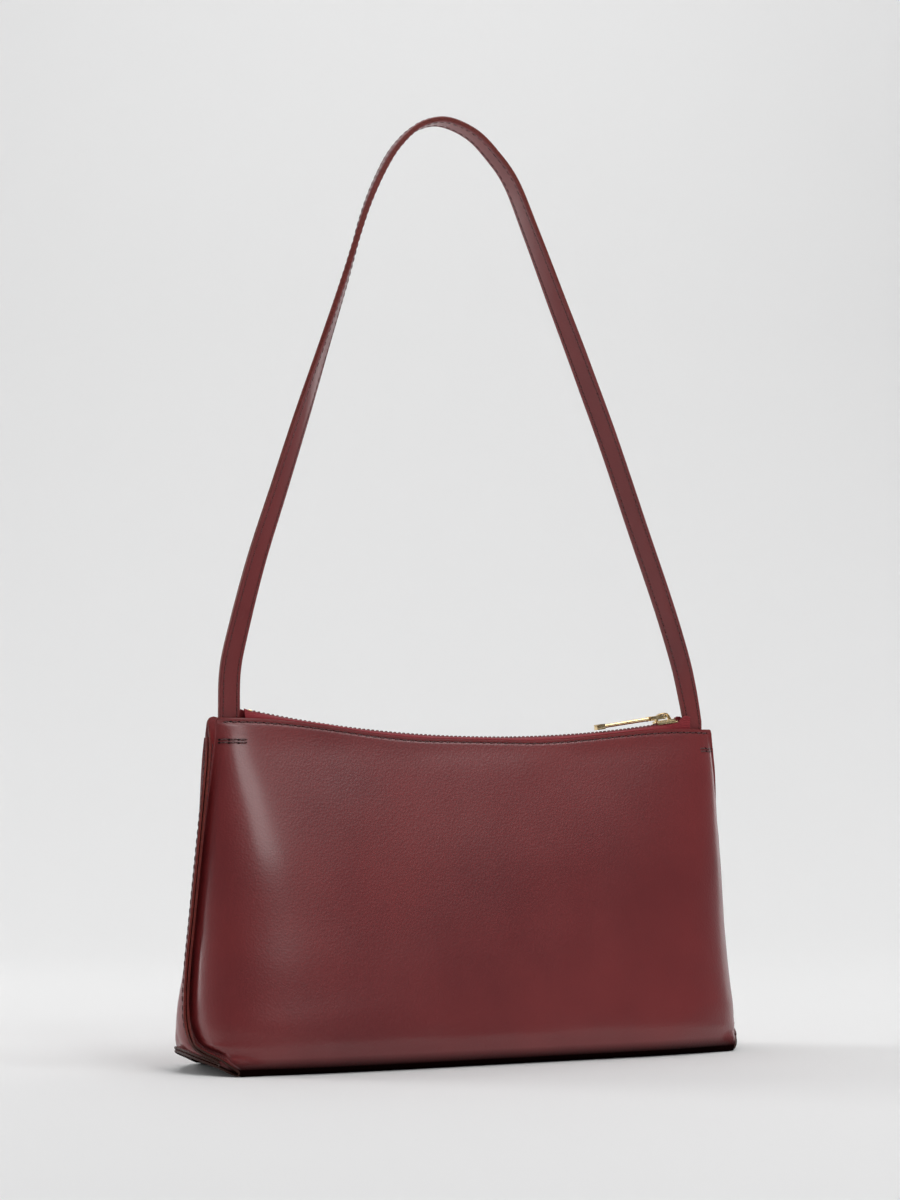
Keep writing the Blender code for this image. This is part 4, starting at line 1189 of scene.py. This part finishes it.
# %% Helpers for small metal pieces
def slanted_matrix(x, rise=0.0, dip=0.0):
    """The place on the zip's arc: X runs along the teeth, Z stands off them."""
    angle = math.asin(x / ZIP_RADIUS)
    place = Matrix.Translation((x, 0, zip_height(x))) @ Matrix.Rotation(-angle, 4, "Y")
    return place @ Matrix.Translation((0, 0, rise)) @ Matrix.Rotation(-dip, 4, "Y")


def smooth_outline(points, steps=6):
    """A closed outline on a curve through its points."""
    points = np.array(points, float)
    count = len(points)
    made = []
    for k in range(count):
        around = [points[(k + j) % count] for j in (-1, 0, 1, 2)]
        made += [on_curve(*around, step / steps) for step in range(steps)]
    return made


def oval(wide, tall, count, x=0.0):
    """An outline round a point of the X axis, with its two radii."""
    return [(x + wide * math.cos(a), tall * math.sin(a)) for a in round_steps(count)]


def doubled(half):
    """An outline from the points on one side of the X axis."""
    return half + [(a, -b) for a, b in reversed(half)]


def plate_into(made, outline, low, high, soft):
    """A flat plate with softened edges, added to a mesh."""
    outline = np.array(outline)
    middle = outline.mean(axis=0)
    size = np.abs(outline - middle).max()
    rings = []
    for z, inset in ((low, soft), (low + soft * 0.3, soft * 0.3), (low + soft, 0), (high - soft, 0),
                     (high - soft * 0.3, soft * 0.3), (high, soft)):
        kept = middle + (outline - middle) * (1 - inset / size)
        rings.append([made.verts.new((a, b, z)) for a, b in kept])
    join_rings(made, rings)


def upright_plate_into(made, outline, low, high, soft, side=1, off=0.0):
    """A plate that stands on edge: its outline in XZ, its thickness out to one side."""
    before = len(made.verts)
    plate_into(made, outline, low, high, soft)
    made.verts.ensure_lookup_table()
    for vertex in made.verts[before:]:
        x, up, across = vertex.co
        vertex.co = (x, side * (off + across), up)


def strip_into(made, path, wide, thick):
    """A bar of rounded section along a path in the XZ plane, added to a mesh."""
    path = np.array(path, float)
    along = np.gradient(path, axis=0)
    along /= np.linalg.norm(along, axis=1, keepdims=True)
    soft = thick * 0.3
    w, t = wide / 2, thick / 2
    section = [(-w + soft, t), (w - soft, t), (w, t - soft), (w, -t + soft),
               (w - soft, -t), (-w + soft, -t), (-w, -t + soft), (-w, t - soft)]
    rings = [[made.verts.new((x - dz * n, a, z + dx * n)) for a, n in section]
             for (x, z), (dx, dz) in zip(path, along)]
    join_rings(made, rings)


def gold_piece(name, made, matrix, body, node):
    """Finishes a small metal mesh: in place, named, riding and standing for its solid."""
    mesh = mesh_of(made, name)
    mesh.transform(matrix)
    piece = keep_piece(name, mesh, [gold], 35)
    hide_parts(node)
    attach(piece, body)
    return piece


slider_place = slanted_matrix(SLIDER_AT)
print("slider stands at", tuple(round(v, 4) for v in slider_place.translation))

# %% [markdown]
# ## Plates, lips, wedge and bail
# The upper plate is shield-shaped and the lower one hidden in the bag. Their outlines are
# given for one half and doubled. The bail is a flat bar bent into a low arch on two feet.

# %% Make the slider
CHAIN = 0.0013
PLATE = 0.0011
end = SLIDER_LENGTH / 2
made = bmesh.new()
shield = [(-end, 0), (-end * 0.93, 0.0021), (-end * 0.5, 0.0029), (0, 0.0034),
          (end * 0.5, 0.0043), (end * 0.9, 0.0040), (end, 0.0018)]
shield += [(a, -b) for a, b in reversed(shield[1:])]
plate_into(made, smooth_outline(shield), CHAIN, CHAIN + PLATE, 0.00030)
for side in (-1, 1):
    lip = [(-end * 0.86, 0.0023), (-end * 0.5, 0.0023), (0, 0.0029), (end * 0.45, 0.0038),
           (end * 0.8, 0.0038), (end * 0.8, 0.0043), (end * 0.45, 0.0043), (0, 0.0034),
           (-end * 0.5, 0.0029), (-end * 0.86, 0.0027)]
    plate_into(made, [(a, b * side) for a, b in lip][::side], 0.00045, CHAIN + 0.0002, 0.00012)
under = doubled([(-end * 0.9, 0.0016), (end * 0.2, 0.0022), (end * 0.9, 0.0028)])
plate_into(made, smooth_outline(under, 4), -CHAIN - PLATE, -CHAIN, 0.00025)
wedge = doubled([(end * 0.3, 0.0001), (end * 0.6, 0.00066), (end * 0.9, 0.00066)])
plate_into(made, wedge, -CHAIN - PLATE / 2, CHAIN + PLATE / 2, 0.0001)
top = CHAIN + PLATE
arch = []
for step in range(33):
    angle = math.pi * step / 32
    wide = abs(math.cos(angle)) ** 0.62 * math.copysign(1, math.cos(angle))
    arch.append((-0.0039 * wide, top - 0.0003 + 0.0036 * math.sin(angle) ** 0.9))
strip_into(made, arch, 0.0022, 0.0009)
for x in (-0.0040, 0.0040):
    plate_into(made, oval(0.0009, 0.0014, 12, x), top - 0.0002, top + 0.0009, 0.0003)
slider = gold_piece("slider_body", made, slider_place, "slider", "zip_slider")
print("slider made,", len(slider.data.vertices), "points")

# %% [markdown]
# ## The pull
# The pull hangs from the bail on a thin pin and lies back along the teeth. It is a fork of
# two arms that closes into a stepped collar, a slim round rod, and a small block at its end.
# The arms and the pin stand on edge, so their plates are drawn flat and then turned up.

# %% Make the fork
PIVOT_RISE = 0.0041
PULL_DIP = math.radians(0.35)
COLLAR = ((-0.0084, -0.0073, 0.0018), (-0.0072, -0.0064, 0.0023), (-0.0063, -0.0053, 0.0023))
pull_place = slanted_matrix(SLIDER_AT, PIVOT_RISE, -PULL_DIP)


def oblong(start, stop, low, high):
    """The four corners of an outline."""
    return [(start, low), (stop, low), (stop, high), (start, high)]


made = bmesh.new()
arm = [(0.0011 * math.cos(a), 0.0011 * math.sin(a)) for a in np.linspace(math.pi / 2, -math.pi / 2, 9)]
arm += [(-0.0056, -0.0010), (-0.0056, 0.0010)]
for side in (-1, 1):
    upright_plate_into(made, arm, 0, 0.0009, 0.00018, side, 0.0014)
for start, stop, half in COLLAR:
    plate_into(made, oblong(start, stop, -half, half), -0.00115, 0.00115, 0.00022)
upright_plate_into(made, oval(0.0006, 0.0006, 16), -0.0021, 0.0021, 0.0001)
for side in (-1, 1):
    upright_plate_into(made, oval(0.0009, 0.0009, 16), 0, 0.0004, 0.00015, side, 0.0022)
fork = gold_piece("pull_fork", made, pull_place, "puller", "puller_fork")
print("fork made,", len(fork.data.vertices), "points")

# %% [markdown]
# ## The rod
# The rod is turned like a chair leg: a list of places and radii along its length, with a
# thicker ferrule where it leaves the collar.

# %% Turn the rod
ROD_PROFILE = ((-0.0087, 0.0009), (-0.0090, 0.00122), (-0.0100, 0.00122), (-0.0104, 0.00105),
               (-0.0350, 0.00100), (-0.0354, 0.00095), (-0.0359, 0.00095))
made = bmesh.new()
join_rings(made, [[made.verts.new((x, radius * math.cos(a), radius * math.sin(a))) for a in round_steps(20)]
                  for x, radius in ROD_PROFILE])
rod = gold_piece("pull_rod", made, pull_place, "puller", "puller_rod")
print("rod turned,", len(rod.data.vertices), "points")

# %% [markdown]
# ## The end block
# The pull ends in a small block between finger and thumb. Narrow rails along its two sides
# stand for its raised frame.

# %% Make the end block
made = bmesh.new()
plate_into(made, oblong(-0.0410, -0.0362, -0.0015, 0.0015), -0.0013, 0.0013, 0.00025)
for side in (-1, 1):
    for low, high in ((-0.00135, -0.0009), (0.0009, 0.00135)):
        rail = oblong(-0.04095, -0.03625, low, high)
        upright_plate_into(made, rail, 0.00145, 0.00172, 0.00008, side)
block = gold_piece("pull_block", made, pull_place, "puller", "puller_ferrule")
print("end block made,", len(block.data.vertices), "points")

# %% [markdown]
# ## The strap
# The strap is two narrow leathers sewn back to back, with painted edges. It leans to the
# left at its top, and each leg twists a quarter turn on its way up. Five tables give height,
# side step and twist at twelve places of each leg, read from the picture. Both legs end in
# a short straight tail that runs down into the body.

# %% Write down the strap's path
STRAP_WIDTH = 0.0107
STRAP_BASE_AT = 0.12945
STRAP_APEX = 0.4665
APEX_SHARE = -0.1195
HINGE_Z = 0.1665
TAIL_FROM = -0.0225
TAIL_TO = -0.0015
STRAP_HEIGHT = (0.0, 0.06, 0.118, 0.236, 0.355, 0.475, 0.594, 0.713, 0.832, 0.912, 0.957, 0.987)
STRAP_LEFT = (-1.0, -0.997, -0.971, -0.899, -0.809, -0.719, -0.629, -0.540, -0.456, -0.374,
              -0.303, -0.223)
STRAP_RIGHT = (1.014, 0.987, 0.950, 0.850, 0.740, 0.631, 0.513, 0.391, 0.269, 0.182, 0.092, 0.0)
TWIST_LEFT = (0, 3, 8, 17, 25, 34, 50, 62, 74, 81, 85, 87)
TWIST_RIGHT = (1, 12, 18, 22, 27, 33, 47, 61, 75, 82, 85, 87)


def strap_stations():
    """Middle points and width directions, from inside the left end to inside the right."""
    rise = STRAP_APEX - HINGE_Z
    left = []
    right = []
    tables = (STRAP_HEIGHT, STRAP_LEFT, STRAP_RIGHT, TWIST_LEFT, TWIST_RIGHT)
    for height, x_left, x_right, *twists in zip(*tables):
        turn_left, turn_right = (math.radians(twist) for twist in twists)
        z = HINGE_Z + rise * height
        left.append(((x_left * STRAP_BASE_AT, 0, z), (math.cos(turn_left), math.sin(turn_left), 0)))
        right.append(((x_right * STRAP_BASE_AT, 0, z), (-math.cos(turn_right), math.sin(turn_right), 0)))
    return left + [((APEX_SHARE * STRAP_BASE_AT, 0, STRAP_APEX), (0, 1, 0))] + right[::-1]


def through(points, count):
    """Points evenly spaced along a curve through the given ones, and the curve's length."""
    points = np.array(points, float)
    last = len(points) - 1
    made = []
    for at in np.linspace(0, last, 40 * last + 1):
        row = min(int(at), last - 1)
        made.append(on_curve(*four_around(points, row), at - row))
    made = np.array(made)
    runs = run_lengths(made[:, :3])
    places = np.linspace(0, runs[-1], count)
    return np.array([np.interp(places, runs, made[:, k]) for k in range(made.shape[1])]).T, runs[-1]


walk, strap_length = through([place + turned for place, turned in strap_stations()], 281)
left_tail, right_tail = [[(share * STRAP_BASE_AT, 0, HINGE_Z + step, 1 if share < 0 else -1, 0, 0)
                          for step in np.linspace(TAIL_FROM, TAIL_TO, 10)]
                         for share in (STRAP_LEFT[0], STRAP_RIGHT[0])]
walk = np.vstack([left_tail, walk, right_tail[::-1]])
middle = walk[:, :3]
along = np.gradient(middle, axis=0)
along /= np.linalg.norm(along, axis=1, keepdims=True)
width = walk[:, 3:] - np.sum(walk[:, 3:] * along, axis=1, keepdims=True) * along
width /= np.linalg.norm(width, axis=1, keepdims=True)
outward = np.cross(along, width)
print("strap length above the body:", round(strap_length, 3), "m")

# %% [markdown]
# ## A section carried along the path
# The strap's section has rounded edges and a shallow channel under each row of stitches. It
# is carried along the path, turned by the twist, and swayed a little, because no strap is cut
# quite straight. At both roots it bends smoothly from the body to the moving arch.

# %% Make the strap
STRAP_THICK = 0.0014
STITCH_INSET = 0.0019
PAINTED = 0.0004


def strap_section():
    """Across and outward places round the two leathers."""
    half = STRAP_WIDTH / 2
    thick = STRAP_THICK
    face = [(-half + 0.0001, thick * 0.62), (-half + 0.00045, thick * 0.95),
            (-half + 0.0012, thick), (-half + STITCH_INSET, thick * 0.93),
            (-half + 0.0026, thick), (0, thick)]
    face += [(-a, b) for a, b in reversed(face[:-1])]
    right = [(half, thick * 0.35), (half - 0.00015, 0.0), (half, -thick * 0.35)]
    back = [(a, -b) for a, b in reversed(face)]
    left = [(-a, b) for a, b in reversed(right)]
    return face + right + back + left


section = strap_section()
made = bmesh.new()
rings = []
for run, m, w, o in zip(run_lengths(middle), middle, width, outward):
    sway = noise.noise(Vector((run * 30, 5.5, 0))) * 0.00015
    rings.append([made.verts.new(tuple(m + w * (a + sway) + o * b)) for a, b in section])
at_edge = [abs(a) > STRAP_WIDTH / 2 - PAINTED for a, _ in section]
for index, quad in enumerate(join_rings(made, rings)):
    k = index % len(section)
    quad.material_index = 1 if at_edge[k] and at_edge[(k + 1) % len(section)] else 0
strap = keep_piece("strap_leathers", mesh_of(made, "strap_leathers"), [strap_leather, edge_paint], 60)
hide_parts("strap_face", "strap_backing", "strap_end_left", "strap_end_right")
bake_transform(strap)
print("strap made,", len(strap.data.vertices), "points")

# %% [markdown]
# ## Thread on the strap
# Four rows hold the two leathers together: one along each edge, on both sides. The rows
# begin a little inside the body, where nothing shows.

# %% Sew the strap
for face_name, face_side in (("outer", 1), ("inner", -1)):
    for edge_name, edge_side in (("left", -1), ("right", 1)):
        line = middle + width * edge_side * (STRAP_WIDTH / 2 - STITCH_INSET) + outward * face_side * 0.0013
        keep = slice(4, len(line) - 4)
        row, count = sew(f"strap_stitches_{face_name}_{edge_name}", line[keep], outward[keep] * face_side,
                         0.0038, 0.00026, 5)
        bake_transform(row)
print("strap sewn with four rows of", count)

# %% [markdown]
# ## The floor
# The bag stands on a pale sheet of paper that curves up behind it, so no horizon shows. It
# is square to the camera, so it is turned as the camera is.

# %% Lay the floor
CURVE_FROM = 0.9
CURVE = 0.8
made = bmesh.new()
profile = [(-3.0, 0.0), (CURVE_FROM, 0.0)]
profile += [(CURVE_FROM + CURVE * math.sin(a), CURVE - CURVE * math.cos(a))
            for a in np.linspace(0.1, math.pi / 2, 16)]
profile += [(1.7, 3.0)]
turn = Matrix.Rotation(VIEW_TURN, 3, "Z")
lines = [[made.verts.new(turn @ Vector((side * 3.5, y, z))) for y, z in profile] for side in (-1, 1)]
for k in range(len(profile) - 1):
    made.faces.new((lines[0][k], lines[0][k + 1], lines[1][k + 1], lines[1][k]))
floor_paper = bpy.data.materials.new("studio_paper")
floor_paper.use_nodes = True
paper = floor_paper.node_tree.nodes["Principled BSDF"]
paper.inputs["Base Color"].default_value = (0.78, 0.78, 0.775, 1)
paper.inputs["Roughness"].default_value = 0.9
floor = keep_piece("studio_floor", mesh_of(made, "studio_floor"), [floor_paper])
print("floor laid,", len(profile), "lines from front to back")

# %% [markdown]
# ## The lights
# Soft light comes from large panels, because a glossy leather mirrors its surroundings: the
# size and place of each panel is what draws the bright patches on it. One hangs above, one
# is high in front, a small one draws the streak at the front's left, two stand behind to
# light the rims, and one lights the paper behind the bag.

# %% Hang the lights
def soft_panel(name, place, aim, wide, tall, power):
    """A rectangular lamp at a place, turned toward another one."""
    data = bpy.data.lights.new(name, "AREA")
    data.shape = "RECTANGLE"
    data.size = wide
    data.size_y = tall
    data.energy = power
    panel = bpy.data.objects.new(name, data)
    panel.location = place
    panel.rotation_euler = (Vector(aim) - Vector(place)).to_track_quat("-Z", "Y").to_euler()
    bpy.context.scene.collection.objects.link(panel)


soft_panel("panel_top", (0.1, 0.2, 2.2), (0, 0, 0), 2.4, 2.0, 17)
soft_panel("panel_front", (0.45, -1.2, 1.9), (0.05, 0, 0.1), 1.4, 1.0, 17)
soft_panel("panel_patch", (-0.07, -1.28, 0.84), (-0.12, 0, 0.15), 0.34, 0.22, 1.9)
soft_panel("panel_left_rim", (-1.3, 1.1, 0.7), (-0.1, 0, 0.15), 0.6, 1.2, 13)
soft_panel("panel_right_rim", (1.6, 0.5, 0.7), (0.1, 0, 0.15), 0.5, 1.2, 2.4)
soft_panel("panel_backdrop", (0.15, 0.35, 1.75), (0.8, 1.5, 0.5), 2.4, 0.5, 9)
world = bpy.data.worlds.new("studio_air")
world.use_nodes = True
air = world.node_tree.nodes["Background"]
air.inputs["Color"].default_value = (0.92, 0.93, 1.0, 1)
air.inputs["Strength"].default_value = 0.15
bpy.context.scene.world = world
bpy.context.scene.view_settings.view_transform = "Standard"
print("six panels and a pale room")
